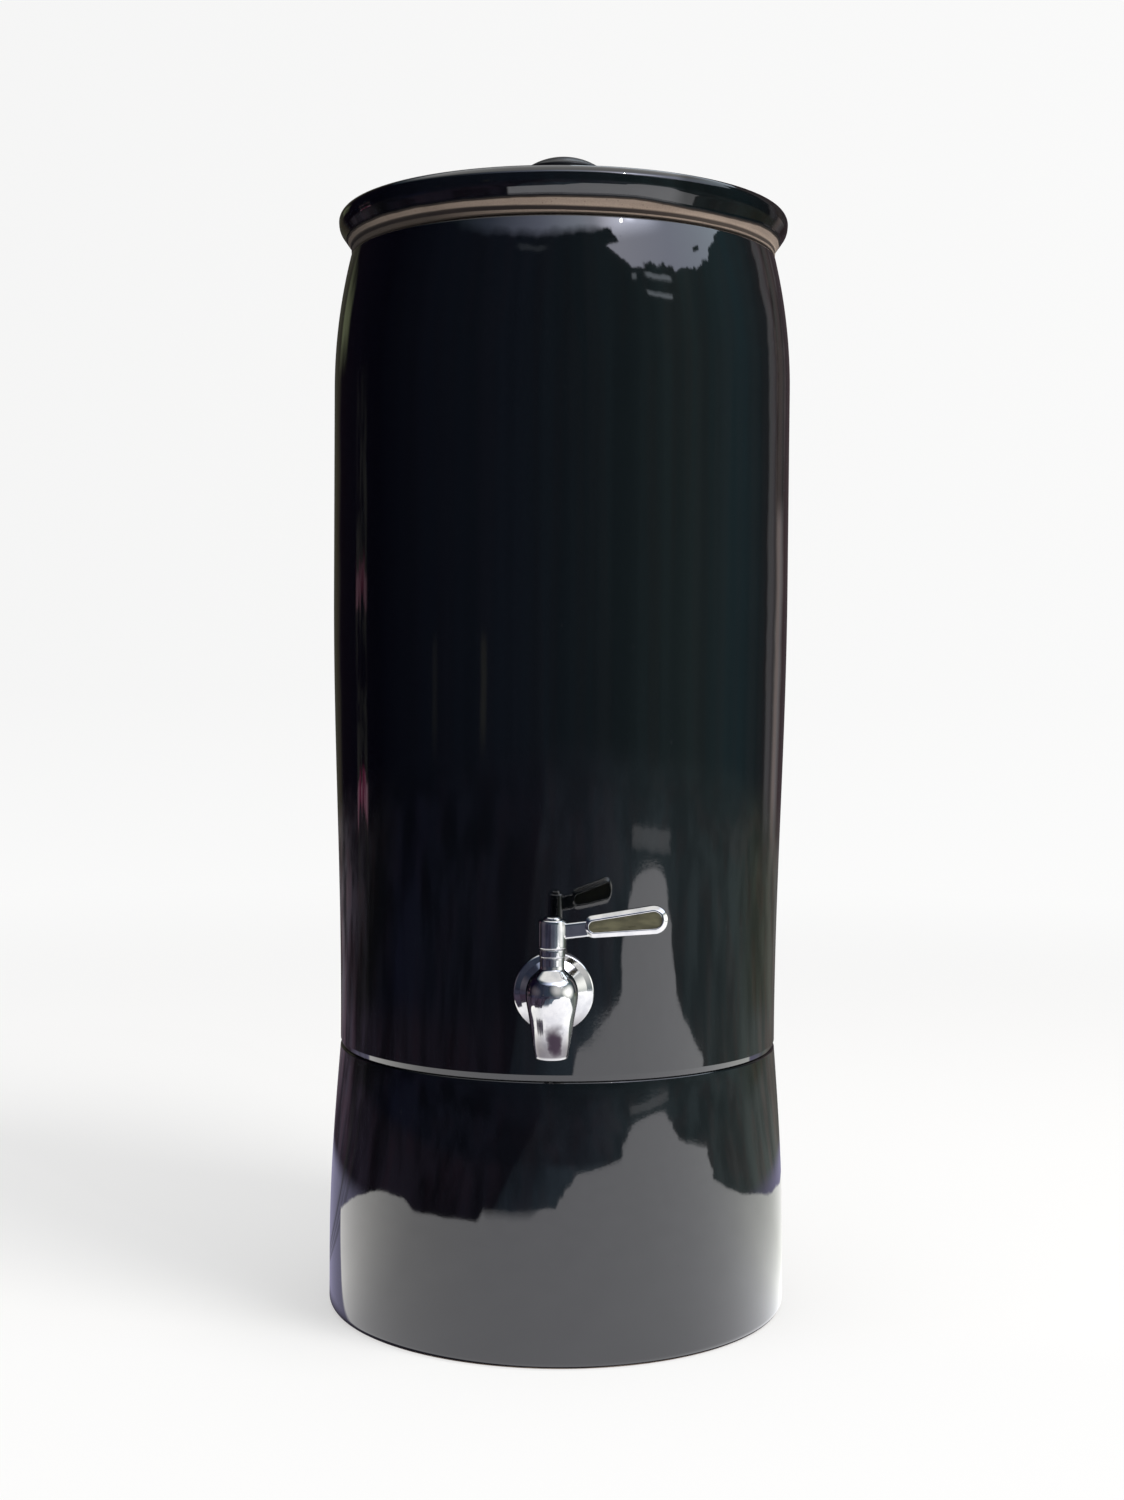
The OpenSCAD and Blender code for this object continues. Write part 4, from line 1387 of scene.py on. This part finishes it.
def ball_bed(bm):
    """Mineral balls in rings against the tube, over a plain core."""
    ball_r = 2.2 * MM
    low, high = BALLS_BOX[0].z, BALLS_BOX[1].z
    bed_r = BALLS_BOX[1].x
    ring_r = bed_r - ball_r
    count = int(2 * math.pi * ring_r / (2 * ball_r))
    layers = int((high - low) / (2 * ball_r * 0.9))
    rng = random.Random(7)
    core = [
        Vector((0.0, low)),
        Vector((ring_r, low)),
        Vector((ring_r, high)),
        Vector((0.0, high)),
    ]
    turn_outline(bm, core, upright(), CORE_STEPS)
    for layer in range(layers):
        z = low + ball_r + (high - low - 2 * ball_r) * layer / max(1, layers - 1)
        for k in range(count):
            a = 2 * math.pi * (k + layer / 2) / count
            r = ball_r * rng.uniform(0.9, 1.0)
            at = Matrix.Translation((ring_r * math.cos(a), ring_r * math.sin(a), z))
            bmesh.ops.create_icosphere(bm, subdivisions=2, radius=r, matrix=at)


# The beds: node, then material, light and dark tone, grain size, depth of the bump and roughness.
BEDS = {
    "media_carbon": ("carbon_grains", (0.035, 0.035, 0.037), (0.008, 0.008, 0.009), 1.6 * MM, 0.9 * MM, 0.5),
    "media_zeolite": ("zeolite_grains", (0.62, 0.60, 0.47), (0.36, 0.35, 0.26), 2.6 * MM, 1.2 * MM),
    "media_mineral_sand": ("mineral_grains", (0.52, 0.38, 0.24), (0.22, 0.15, 0.09), 1.5 * MM, 0.7 * MM),
    "media_silica_sand": ("silica_grains", (0.82, 0.76, 0.62), (0.58, 0.51, 0.38), 0.9 * MM, 0.4 * MM),
}


class WATERFILTER_OT_filter_parts(bpy.types.Operator):
    """Base plate, nut, cartridge and filter beds"""

    bl_idname = "waterfilter.filter_parts"
    bl_label = "Filter parts"

    def execute(self, context):
        finishes = settings().finish
        plastic = moulded("blue_plastic", tuple(finishes.plastic), 0.3)
        silicone = moulded("silicone", tuple(finishes.silicone), 0.5)
        for node in ("dome_base", "pot_nut", "cartridge_cap", "cartridge_base"):
            dress(node, plastic)
        for node in ("dome_washer", "cartridge_seal"):
            dress(node, silicone)
        dress("cartridge_tube", clear_tube())
        dress("cartridge_screen", steel())
        dress("felt_pads", felt())
        for node, grains in BEDS.items():
            dress(node, granules(*grains))
        balls = new_object("mineral_ball_bed", ball_bed)
        clay_balls = granules("clay_ball_skin", (0.50, 0.25, 0.14), (0.28, 0.12, 0.07), 0.5 * MM, 0.1 * MM)
        finish(balls, clay_balls, "filter_pot", ["media_mineral_balls"], "mineral_balls")
        return {"FINISHED"}


# ---- What the gloss reflects ----
#
# Bearings and rises are in degrees, seen from the origin: bearing 0 is the front (-Y) and 90 is +X.
# Distances are in metres from the axis. The stops are given and blend into each other.

SKY_RADIUS = 10.0
FLOOR_HALF = 40.0
FLAG_LIFT = 0.4 * MM  # how far the ground flag lies above the floor
CLOTH_GLOW = 1.18  # strength of the dark surroundings
SKY_GLOW = 2.3  # strength of the sky above them
GLINT_BEARING = 40.0  # where the sky is brightest
SHADOW_X, SHADOW_Y = -0.65, 0.76  # the way the part's own shadow falls
LANE_SPAN = (0.0, 2.0)
ALL_ROUND = (-180, 180)

# The floor as gloss shows it: (bearing, colour).
SUNLIT_FLOOR = (
    (-130, (0.70, 0.69, 0.68)), (-88, (0.80, 0.79, 0.775)), (-62, (0.665, 0.66, 0.67)),
    (-25, (0.645, 0.645, 0.68)), (5, (0.67, 0.67, 0.71)), (38, (0.74, 0.745, 0.78)),
    (58, (0.80, 0.805, 0.84)), (78, (0.85, 0.86, 0.88)), (96, (0.83, 0.84, 0.82)),
    (116, (0.64, 0.65, 0.62)), (145, (0.55, 0.55, 0.54)),
)

# The dark surroundings: (bearing, colour).
DARK_ROUND = (
    (-180, (0.050, 0.042, 0.050)), (-157, (0.040, 0.039, 0.028)), (-149, (0.026, 0.024, 0.019)),
    (-144, (0.006, 0.004, 0.007)), (-100, (0.003, 0.002, 0.010)), (-66, (0.016, 0.020, 0.038)),
    (-20, (0.030, 0.040, 0.064)), (20, (0.046, 0.070, 0.084)), (65, (0.088, 0.132, 0.136)),
    (100, (0.054, 0.100, 0.116)), (117, (0.036, 0.052, 0.058)), (125, (0.030, 0.034, 0.038)),
    (127.5, (0.150, 0.150, 0.155)), (132, (0.130, 0.122, 0.130)), (135.5, (0.070, 0.062, 0.066)),
    (139.5, (0.260, 0.245, 0.235)), (146, (0.200, 0.180, 0.185)), (152, (0.050, 0.038, 0.042)),
    (180, (0.050, 0.042, 0.050)),
)

# Where the open ground near the part ends: (bearing, distance).
OPEN_GROUND_EDGE = (
    (-180, 0.30), (-115, 0.30), (-88, 0.47), (-70, 0.50), (-64, 0.455), (-33, 0.482), (-31, 0.562),
    (-16, 0.577), (5, 0.612), (78, 0.60), (93, 0.453), (111, 0.374), (136, 0.32), (180, 0.30),
)

# The left side of the lit lane: (distance, bearing).
LANE_LEFT = (
    (0.60, 0.0), (0.68, 2.6), (0.83, 7.0), (0.93, 10.0), (0.97, 16.5), (1.03, 25.0), (1.10, 31.0),
    (1.20, 31.0), (1.35, 33.0), (1.5, 35.0), (1.66, 39.0), (1.72, 44.5), (1.74, 49.0), (1.75, 80.0),
)

# The right side of the lit lane: (distance, bearing).
LANE_RIGHT = (
    (0.60, 79.0), (0.88, 76.5), (0.95, 71.0), (1.02, 66.0), (1.1, 62.0), (1.25, 59.5), (1.5, 57.5),
    (1.66, 56.0), (1.72, 52.5), (1.74, 49.0), (1.75, 10.0),
)

# The dark ground up to about a metre away: (bearing, colour).
NEAR_GROUND = (
    (-180, (0.10, 0.09, 0.10)), (-150, (0.06, 0.048, 0.066)), (-110, (0.030, 0.024, 0.038)),
    (-60, (0.036, 0.029, 0.047)), (-29, (0.036, 0.033, 0.053)), (-28, (0.070, 0.090, 0.125)),
    (-18, (0.075, 0.098, 0.135)), (-8, (0.150, 0.200, 0.260)), (8, (0.17, 0.225, 0.28)),
    (45, (0.14, 0.185, 0.21)), (110, (0.15, 0.18, 0.17)), (150, (0.10, 0.098, 0.09)),
    (180, (0.10, 0.09, 0.10)),
)

# The dark ground further out: (bearing, colour).
MIDDLE_GROUND = (
    (-180, (0.10, 0.09, 0.10)), (-150, (0.05, 0.042, 0.055)), (-124, (0.022, 0.020, 0.024)),
    (-100, (0.014, 0.015, 0.034)), (-66, (0.022, 0.024, 0.042)), (-29, (0.034, 0.034, 0.056)),
    (-27, (0.066, 0.074, 0.102)), (0, (0.078, 0.090, 0.122)), (20, (0.092, 0.115, 0.148)),
    (41, (0.13, 0.175, 0.20)), (100, (0.13, 0.17, 0.17)), (120, (0.105, 0.120, 0.095)),
    (150, (0.10, 0.10, 0.088)), (180, (0.10, 0.09, 0.10)),
)

# The top of the dark surroundings: (bearing, rise).
SKYLINE = (
    (-90, 44.0), (-60, 37.0), (-12, 38.4), (20, 39.4), (28, 38.4), (31, 37.2), (34, 33.0), (42, 31.8),
    (59, 30.0), (75, 29.0), (86, 29.6), (95, 31.5), (102, 35.0), (110, 44.0),
)

# The sky above them: (bearing, colour).
SKY_TONES = (
    (-62, (0.02, 0.03, 0.04)), (-42, (0.10, 0.12, 0.17)), (-12, (0.35, 0.38, 0.50)),
    (10, (0.66, 0.72, 0.86)), (24, (0.88, 0.89, 1.04)), (60, (0.66, 0.70, 0.86)), (100, (0.62, 0.72, 0.82)),
)


# ---- Studio ----


def hide_from_all_but_reflections(obj):
    """Keeps a studio flag out of the view and the lighting."""
    for kind in ("camera", "diffuse", "shadow", "transmission", "volume_scatter"):
        setattr(obj, "visible_" + kind, False)


def background_rays(s):
    """1 for the rays that see the background: from the camera, off gloss and through glass."""
    path = s.node("ShaderNodeLightPath", output="Is Camera Ray")
    return path.highest(path.output("Is Glossy Ray")).highest(path.output("Is Transmission Ray"))


def bearing(s, x, y):
    """Direction on the ground from the axis, in degrees: 0 to the front, positive to the right."""
    turn = s.node("ShaderNodeMath", {"operation": "ARCTAN2"}, {0: x, 1: 0 - y})
    return turn * math.degrees(1)


def around(s, degrees, radius, depth):
    """A point on a circle, for a texture that closes all the way round."""
    turn = degrees * math.radians(1)
    return s.join(turn.math("COSINE", turn) * radius, turn.math("SINE", turn) * radius, depth)


def tones(s, degrees, stops):
    """A colour by its bearing, from (degrees, colour) pairs."""
    places = [((at + 180) / 360, colour) for at, colour in stops]
    return s.node("ShaderNodeValToRGB", {"stops": places}, {"Fac": degrees / 360 + 0.5}, "Color")


def within(value, middle, half, soft):
    """1 within half of the middle, with soft edges."""
    return 1 - (abs(value - middle) - half).ramp(0.0, soft)


def curve(s, value, span, high, stops):
    """A number up to high that follows (place, number) pairs as the value goes through its span."""
    low, top = span
    places = [((place - low) / (top - low), (number / high,) * 3) for place, number in stops]
    share = (value - low) / (top - low)
    return s.node("ShaderNodeValToRGB", {"stops": places}, {"Fac": share}, "Color") * high


def backdrop_tone(s, across):
    """The backdrop's colour, a little lighter to the right."""
    backdrop = settings().studio.backdrop
    rightward = across.ramp(-0.3, 0.3, smooth=False)
    return s.blend(rightward, dimmed(backdrop, 0.978), dimmed(backdrop, 1.022))


def floor_finish(s):
    """Pale floor that keeps the shadow, runs into the backdrop further out, and is brighter in gloss."""
    studio = settings().studio
    x, y = s.split(s.place())[:2]
    distance = (x * x + y * y).root()
    path = s.node("ShaderNodeLightPath", output="Is Camera Ray")
    mirrored = path.output("Is Glossy Ray").highest(path.output("Is Transmission Ray"))
    # open_front paints light on the floor in front of the part, so the part's shadow there is lighter.
    front_glow = 0.34
    open_front = (0.0 - y).ramp(0.03, 0.12) * (1 - distance.ramp(0.3, 0.8)) * front_glow
    lit = path * (open_front + studio.floor_glow) + mirrored
    share = lit + (background_rays(s) - lit) * distance.ramp(0.7, 2.2)
    # Painted light and shade: the floor's colour is lighter on the left and darker on the right, evening out
    # the key lamp from the right.
    pale = s.blend(x.ramp(-0.5, 0.5, smooth=False), (0.975,) * 3, (0.925,) * 3)
    shaded = s.node("ShaderNodeBsdfDiffuse", {}, {"Color": pale})
    away = (1 - 1 / distance.highest(1.0).root()) * 1.19
    tone = s.blend(away.lowest(1.0), tuple(studio.floor), backdrop_tone(s, x / distance))
    sunlit = tones(s, bearing(s, x, y), SUNLIT_FLOOR)
    sweep = s.grain(s.place(), 14.0, 3.0) * 0.10 + 0.95
    shine = s.scaled(sunlit, sweep * studio.floor_shine)
    near = mirrored * (1 - distance.ramp(1.8, 3.0))
    return s.mix(share, shaded, s.glow(s.blend(near, tone, shine)))


def surroundings(s, turn, depth):
    """Tones of the dark surroundings by their bearing, in upright streaks."""
    ragged = s.grain(around(s, turn, 2.0, depth * 40.0), 1.0, 3.0) - 0.5
    shade = tones(s, turn + ragged * 7.0, DARK_ROUND)
    streaks = s.grain(around(s, turn, 6.3, depth), 1.0, 3.0, 0.5).ramp(0.30, 0.70)
    warm = s.grain(around(s, turn, 9.0, depth * 4.0 + 5.0), 1.0, 2.0, 0.5).ramp(0.48, 0.58)
    tinted = s.blend(warm * 0.7, shade, s.stretch(shade, (1.14, 0.97, 0.95)))
    return s.scaled(tinted, streaks * 0.3 + 0.85)


def accents(s, under, turn, depth, low, high, strength, fade=1.0):
    """Grey strands down the left, crimson and pink between two depths."""
    strand = s.grain(s.join(turn * 0.3, depth * 0.3, 3.0), 1.0, 3.0, 0.6).ramp(0.40, 0.60)
    column = within(turn, -116.5, 4.0, 2.5) * fade
    grey = s.blend(column * strand * 0.8, under, (0.050, 0.049, 0.046))
    shift = (strand - 0.5) * (high - low) * 0.9
    reach = within(depth + shift, (low + high) / 2, (high - low) / 2, (high - low) / 3)
    pink = s.blend(strand, (0.16, 0.012, 0.055), (0.42, 0.22, 0.29))
    return s.blend(column * reach, grey, s.scaled(pink, strength))


def posts(s, turn, under):
    """Two thin pale uprights on the left."""
    marks = within(turn, -36.5, 0.5, 1.8) * 0.8 + within(turn, -63.0, 0.4, 2.0) * 0.3
    return s.blend(marks, under, (0.105, 0.105, 0.098))


def open_ground(s, x, y, distance, turn, ragged):
    """1 on the open ground near the part, but not in the part's shadow or where its foot meets the ground."""
    edge = curve(s, turn, ALL_ROUND, 1.0, OPEN_GROUND_EDGE)
    behind = y * SHADOW_Y + x * SHADOW_X
    beside = abs(x * SHADOW_Y - y * SHADOW_X)
    cast = (1 - beside.ramp(FOOT_R - 0.5 * MM, FOOT_R + 2.5 * MM)) * behind.ramp(-0.02, 0.01)
    wider = (0.0 - x).ramp(0.0, 0.1) * 2 * MM
    contact = 1 - (distance - wider).ramp(FOOT_R - 0.9 * MM, FOOT_R)
    soft = within(turn, -20.0, 9.0, 6.0) * 0.06
    past = distance - edge - ragged * 0.06 + soft
    return (1 - past.ramp(0.0, soft + 0.012, smooth=False)) * (1 - cast.highest(contact))


def lit_lane(s, distance, turn, ragged):
    """1 on the lit lane that runs away from the part to the right and narrows."""
    left = curve(s, distance, LANE_SPAN, 80.0, LANE_LEFT)
    right = curve(s, distance, LANE_SPAN, 80.0, LANE_RIGHT)
    into = (turn - left - ragged * 7.0).lowest(right - turn - ragged * 5.0)
    return into.ramp(0.0, 1.2) * distance.ramp(0.45, 0.5)


def dark_ground(s, distance, turn):
    """Tones of the ground by bearing, in streaks that run outward, with a shade round the part's foot."""
    lean_start, lean_rate, lean_most = 0.485, 14.1, 22.0
    lean = distance.math("LOGARITHM", distance / lean_start, math.e) * lean_rate
    bent = turn - lean.highest(0.0).lowest(lean_most) * (1 - turn.ramp(0.0, 30.0))
    near_tones = tones(s, bent, NEAR_GROUND)
    middle_tones = tones(s, bent, MIDDLE_GROUND)
    close = s.blend(distance.ramp(0.92, 1.12), near_tones, middle_tones)
    streaks = s.grain(around(s, turn, 5.7, distance * 1.4), 1.0, 3.0, 0.55).ramp(0.34, 0.66)
    warm = s.grain(around(s, turn, 8.0, distance * 2.0 + 3.0), 1.0, 2.0, 0.5).ramp(0.48, 0.60)
    hued = s.blend(warm * (1 - distance.ramp(3.0, 5.0)), close, s.stretch(close, (1.12, 0.97, 0.96)))
    leftward = 1 - turn.ramp(-50.0, -10.0)
    streaked = s.scaled(hued, (streaks * 1.2 - 0.5) * (leftward * 0.6 + 0.4) + 1.0)
    near_foot = distance.ramp(FOOT_R - 2 * MM, FOOT_R + 9 * MM)
    foot_shade = s.blend(near_foot, (0.03, 0.026, 0.035), (0.24, 0.23, 0.34))
    return s.blend(distance.ramp(0.36, 0.46), foot_shade, streaked)


def ground_flag_finish(s):
    """Dark ground round the part, clear near it and along one lane, where gloss shows the pale floor."""
    at = s.place()
    x, y = s.split(at)[:2]
    distance = (x * x + y * y).root()
    turn = bearing(s, x, y)
    ragged = s.grain(at, 9.0, 4.0, 0.6) - 0.5
    clear_mask = open_ground(s, x, y, distance, turn, ragged).highest(lit_lane(s, distance, turn, ragged))
    dark = s.blend(distance.ramp(1.6, 4.0), dark_ground(s, distance, turn), surroundings(s, turn, 0.0))
    posted = s.blend(distance.ramp(3.0, 5.0), dark, posts(s, turn, dark))
    accented = accents(s, posted, turn, distance, 2.9, 3.6, 1.0)
    patch = within(turn + ragged * 6.0, 47.0, 9.0, 2.0) * within(distance + ragged * 0.1, 1.98, 0.09, 0.05)
    tone = s.blend(patch * 0.38, accented, (0.95, 0.96, 1.0))
    return s.mix(clear_mask, s.glow(tone, CLOTH_GLOW), s.node("ShaderNodeBsdfTransparent"))


def open_sky(s, turn, rise, leaves):
    """1 above the skyline and on a tongue of sky that reaches under it, but not in one small hole."""
    skyline = curve(s, turn, ALL_ROUND, 60.0, SKYLINE)
    clear_edge = turn.ramp(18.0, 26.0)
    height = rise + leaves * (3.0 + clear_edge * 3.5) - skyline
    over = (height / (2.4 - clear_edge * 2.0) + 0.5).lowest(1.0).highest(0.0)
    past_tip = turn - 23.5
    half_width = (past_tip * 0.22).lowest(3.0)
    tongue = (half_width - abs(rise + past_tip * 0.1 + leaves * 2.5 - 35.3)).ramp(0.0, 0.4)
    hole = within(turn, 77.5, 1.6, 1.0) * within(rise, 31.8, 0.3, 0.3)
    return over.highest(tongue * (1 - turn.ramp(43.0, 45.0))) * (1 - hole)


def pale_marks(turn, rise, leaves):
    """Two dashes with a dot beside them on the right, and a faint spot in the middle."""
    level = rise + (turn - 51.0) * 0.1 + leaves * 1.2
    two_levels = within(level, 28.4, 0.25, 0.45) + within(level, 24.8, 0.25, 0.45)
    dashes = within(turn + leaves * 10.0, 51.0, 6.0, 2.0) * two_levels
    dot = within(turn, 38.0, 0.7, 1.0) * within(rise, 28.8, 0.3, 0.6)
    spot = within(turn, -16.0, 5.0, 5.0) * within(rise + leaves * 2.0, 35.0, 0.2, 0.7)
    return (dashes * 0.9 + spot * 0.12 + dot * 0.7).lowest(1.0)


def sky_flag_finish(s):
    """Dark surroundings under a ragged skyline, with a bluish sky that is brightest at the glint lamp."""
    at = s.place()
    x, y, z = s.split(at)
    turn = bearing(s, x, y)
    rise = (z / SKY_RADIUS).math("ARCSINE", z / SKY_RADIUS) * math.degrees(1)
    leaves = s.grain(at, 0.9, 4.0, 0.6) - 0.5
    upper_edge = within(turn, 143.0, 5.0, 3.0) * rise.ramp(6.6, 7.8)
    shade = s.scaled(surroundings(s, turn, rise * 0.01), 1 - upper_edge * 0.65)
    posted = s.blend(1 - rise.ramp(1.2, 2.6), shade, posts(s, turn, shade))
    accented = accents(s, posted, turn, rise, 4.3, 5.3, 0.45, 1 - rise.ramp(8.0, 13.0))
    green = within(turn + leaves * 6.0, -143.0, 3.0, 5.0) * within(rise + leaves * 5.0, 16.0, 0.5, 5.0)
    coloured = s.blend(green * 0.8, accented, (0.14, 0.155, 0.09))
    marked = s.blend(pale_marks(turn, rise, leaves), coloured, (0.90, 1.0, 1.1))
    core = within(turn, GLINT_BEARING, 0.6, 4.5) * within(rise, 42.0, 0.3, 2.6)
    halo = within(turn, GLINT_BEARING, 6.0, 18.0) * within(rise, 41.5, 1.2, 4.5) + core * 1.6
    sky = s.glow(s.scaled(tones(s, turn, SKY_TONES), halo * 1.35 + 1.0), SKY_GLOW)
    cloth = s.mix(open_sky(s, turn, rise, leaves), s.glow(marked, CLOTH_GLOW), sky)
    return s.mix(rise.ramp(45.0, 60.0), cloth, s.node("ShaderNodeBsdfTransparent"))


def flat_square(half):
    """Draws a level square about the axis."""

    def build(bm):
        corners = [(-half, -half), (half, -half), (half, half), (-half, half)]
        bm.faces.new([bm.verts.new((x, y, 0.0)) for x, y in corners])

    return build


def half_dome(bm):
    """Draws a half sphere about the origin."""
    levels, steps = 24, 96
    turns = [2 * math.pi * k / steps for k in range(steps)]
    rings = []
    for i in range(levels):
        rise = math.pi / 2 * i / levels
        r, z = SKY_RADIUS * math.cos(rise), SKY_RADIUS * math.sin(rise)
        rings.append([bm.verts.new((r * math.cos(a), r * math.sin(a), z)) for a in turns])
    rings.append([bm.verts.new((0.0, 0.0, SKY_RADIUS))])
    for low, high in zip(rings, rings[1:]):
        bridge(bm, low, high)


def sheet(name, mesh_builder, draw):
    """A studio sheet with its finish."""
    piece = new_object(name, mesh_builder)
    piece.data.materials.append(material(name, draw))
    return piece


def feathered(data, colour):
    """Lets a lamp's light fade towards its edges."""
    s = Shader(data)
    across, up = s.split(s.node("ShaderNodeNewGeometry", output="Parametric"))[:2]
    reach = ((across - 0.5) * (across - 0.5) + (up - 0.5) * (up - 0.5)).root()
    s.finish(s.glow(s.scaled(colour, 1 - reach.ramp(0.05, 0.5))), "ShaderNodeOutputLight")


def area_lamp(name, at, towards, size, power, colour, in_gloss=True, receivers=()):
    """A soft disk aimed at a point; with receivers, a feathered sheet that lights them alone."""
    data = bpy.data.lights.new(name, "AREA")
    data.shape = "RECTANGLE" if receivers else "DISK"
    data.size, data.size_y = size
    data.energy = power
    lamp = bpy.data.objects.new(name, data)
    aim = (Vector(towards) - Vector(at)).to_track_quat("-Z", "Y")
    lamp.matrix_world = Matrix.Translation(at) @ aim.to_matrix().to_4x4()
    lamp.visible_camera = False
    lamp.visible_transmission = False
    lamp.visible_glossy = in_gloss
    bpy.context.scene.collection.objects.link(lamp)
    if not receivers:
        data.color = colour
        return
    feathered(data, colour)
    lit = bpy.data.collections.new(name + "_receivers")
    for piece in receivers:
        lit.objects.link(piece)
    lamp.light_linking.receiver_collection = lit


def camera_matrix(studio):
    """The camera's place and turn, from its distance, height, azimuth, pitch and roll."""
    ahead = Vector((-math.sin(studio.azimuth), math.cos(studio.azimuth), 0.0))
    right = Vector((math.cos(studio.azimuth), math.sin(studio.azimuth), 0.0))
    place = -ahead * studio.distance + right * studio.side + Vector((0.0, 0.0, studio.height))
    view = ahead * math.cos(studio.pitch) - Vector((0.0, 0.0, math.sin(studio.pitch)))
    up = right.cross(view)
    rolled_right = right * math.cos(studio.roll) + up * math.sin(studio.roll)
    rolled_up = up * math.cos(studio.roll) - right * math.sin(studio.roll)
    turn = Matrix((rolled_right, rolled_up, -view)).transposed().to_4x4()
    return Matrix.Translation(place) @ turn


class WATERFILTER_OT_studio(bpy.types.Operator):
    """Floor, flags, lamps, world and camera"""

    bl_idname = "waterfilter.studio"
    bl_label = "Studio"

    def execute(self, context):
        scene = context.scene
        studio = settings().studio
        scene.view_settings.view_transform = "Standard"
        self.build_world(scene, studio)
        floor = sheet("studio_floor", flat_square(FLOOR_HALF), floor_finish)
        ground = sheet("ground_flag", flat_square(SKY_RADIUS), ground_flag_finish)
        ground.location.z = FLAG_LIFT
        sky = sheet("sky_flag", half_dome, sky_flag_finish)
        for flag in (ground, sky):
            hide_from_all_but_reflections(flag)
        self.hang_lamps(studio)
        camera = bpy.data.objects.new("camera", bpy.data.cameras.new("camera"))
        camera.data.lens = studio.lens
        camera.data.sensor_width = 36.0
        camera.data.sensor_fit = "AUTO"
        camera.data.clip_end = 100.0
        camera.matrix_world = camera_matrix(studio)
        scene.collection.objects.link(camera)
        scene.camera = camera
        return {"FINISHED"}

    @staticmethod
    def hang_lamps(studio):
        """The key lamp, the lamp whose glint shows in the glaze, and three for the plating alone."""
        middle = (0.0, 0.0, 0.3)
        warm, white = (1.0, 0.98, 0.95), (1.0, 1.0, 1.0)
        area_lamp("key_lamp", (1.25, -0.96, 2.1), middle, (0.9, 0.9), studio.key_power, warm, in_gloss=False)
        area_lamp("glint_lamp", (1.10, -1.65, 2.04), middle, (0.035, 0.035), 2.0, white)
        tap_at = (SPOUT_X, SPOUT_Y, SHANK_Z)
        spout = [bpy.data.objects[name] for name in ("tap_spout", "tap_rosette")]
        upper = [bpy.data.objects[name] for name in ("bonnet", "lever_loop")]
        plated = spout + upper + [NODES["lever_screw"]]
        for name, at, size, power, colour, lit in (
            ("tap_strip", (0.75, -0.30, 0.27), (1.2, 0.7), 4.6, (1.0, 0.98, 0.94), plated),
            ("tap_front", (0.30, -0.68, 0.42), (1.1, 0.9), 1.9, (1.0, 0.96, 0.94), spout),
            ("tap_shade", (-0.75, -0.35, 0.27), (1.1, 0.6), 0.18, (0.95, 0.80, 0.84), plated),
        ):
            area_lamp(name, at, tap_at, size, power, colour, receivers=lit)

    @staticmethod
    def build_world(scene, studio):
        """White round the part, at full strength only where it is seen as background."""
        world = bpy.data.worlds.new("studio_world")
        scene.world = world
        s = Shader(world)
        seen = background_rays(s)
        strength = seen * (1.0 - studio.ambient) + studio.ambient
        across = s.split(s.node("ShaderNodeTexCoord", output="Generated"))[0]
        tone = s.scaled(backdrop_tone(s, across), strength)
        glow = s.node("ShaderNodeBackground", {}, {"Color": tone, "Strength": 1.0})
        s.finish(glow, "ShaderNodeOutputWorld")


class WATERFILTER_PT_panel(bpy.types.Panel):
    """Lists the steps that build the water filter"""

    bl_idname = "WATERFILTER_PT_panel"
    bl_label = "Water Filter"
    bl_space_type = "VIEW_3D"
    bl_region_type = "UI"
    bl_category = "Water Filter"

    def draw(self, context):
        for step in STEPS:
            self.layout.operator(step.bl_idname)


STEPS = (
    WATERFILTER_OT_stand,
    WATERFILTER_OT_crock,
    WATERFILTER_OT_lid,
    WATERFILTER_OT_knob,
    WATERFILTER_OT_pot,
    WATERFILTER_OT_dome,
    WATERFILTER_OT_tap,
    WATERFILTER_OT_tap_trim,
    WATERFILTER_OT_lever,
    WATERFILTER_OT_filter_parts,
    WATERFILTER_OT_studio,
)
GROUPS = (BodySizes, TapSizes, FinishColours, StudioSettings, FilterSettings)


def register():
    """Adds the settings, the steps and the panel to Blender."""
    for kind in GROUPS + STEPS + (WATERFILTER_PT_panel,):
        bpy.utils.register_class(kind)
    bpy.types.Scene.water_filter = bpy.props.PointerProperty(type=FilterSettings)


def unregister():
    """Takes them out again."""
    del bpy.types.Scene.water_filter
    for kind in reversed(GROUPS + STEPS + (WATERFILTER_PT_panel,)):
        bpy.utils.unregister_class(kind)


def main():
    """Builds everything in order."""
    register()
    for step in STEPS:
        area, name = step.bl_idname.split(".")
        getattr(getattr(bpy.ops, area), name)()


if __name__ == "__main__":
    main()
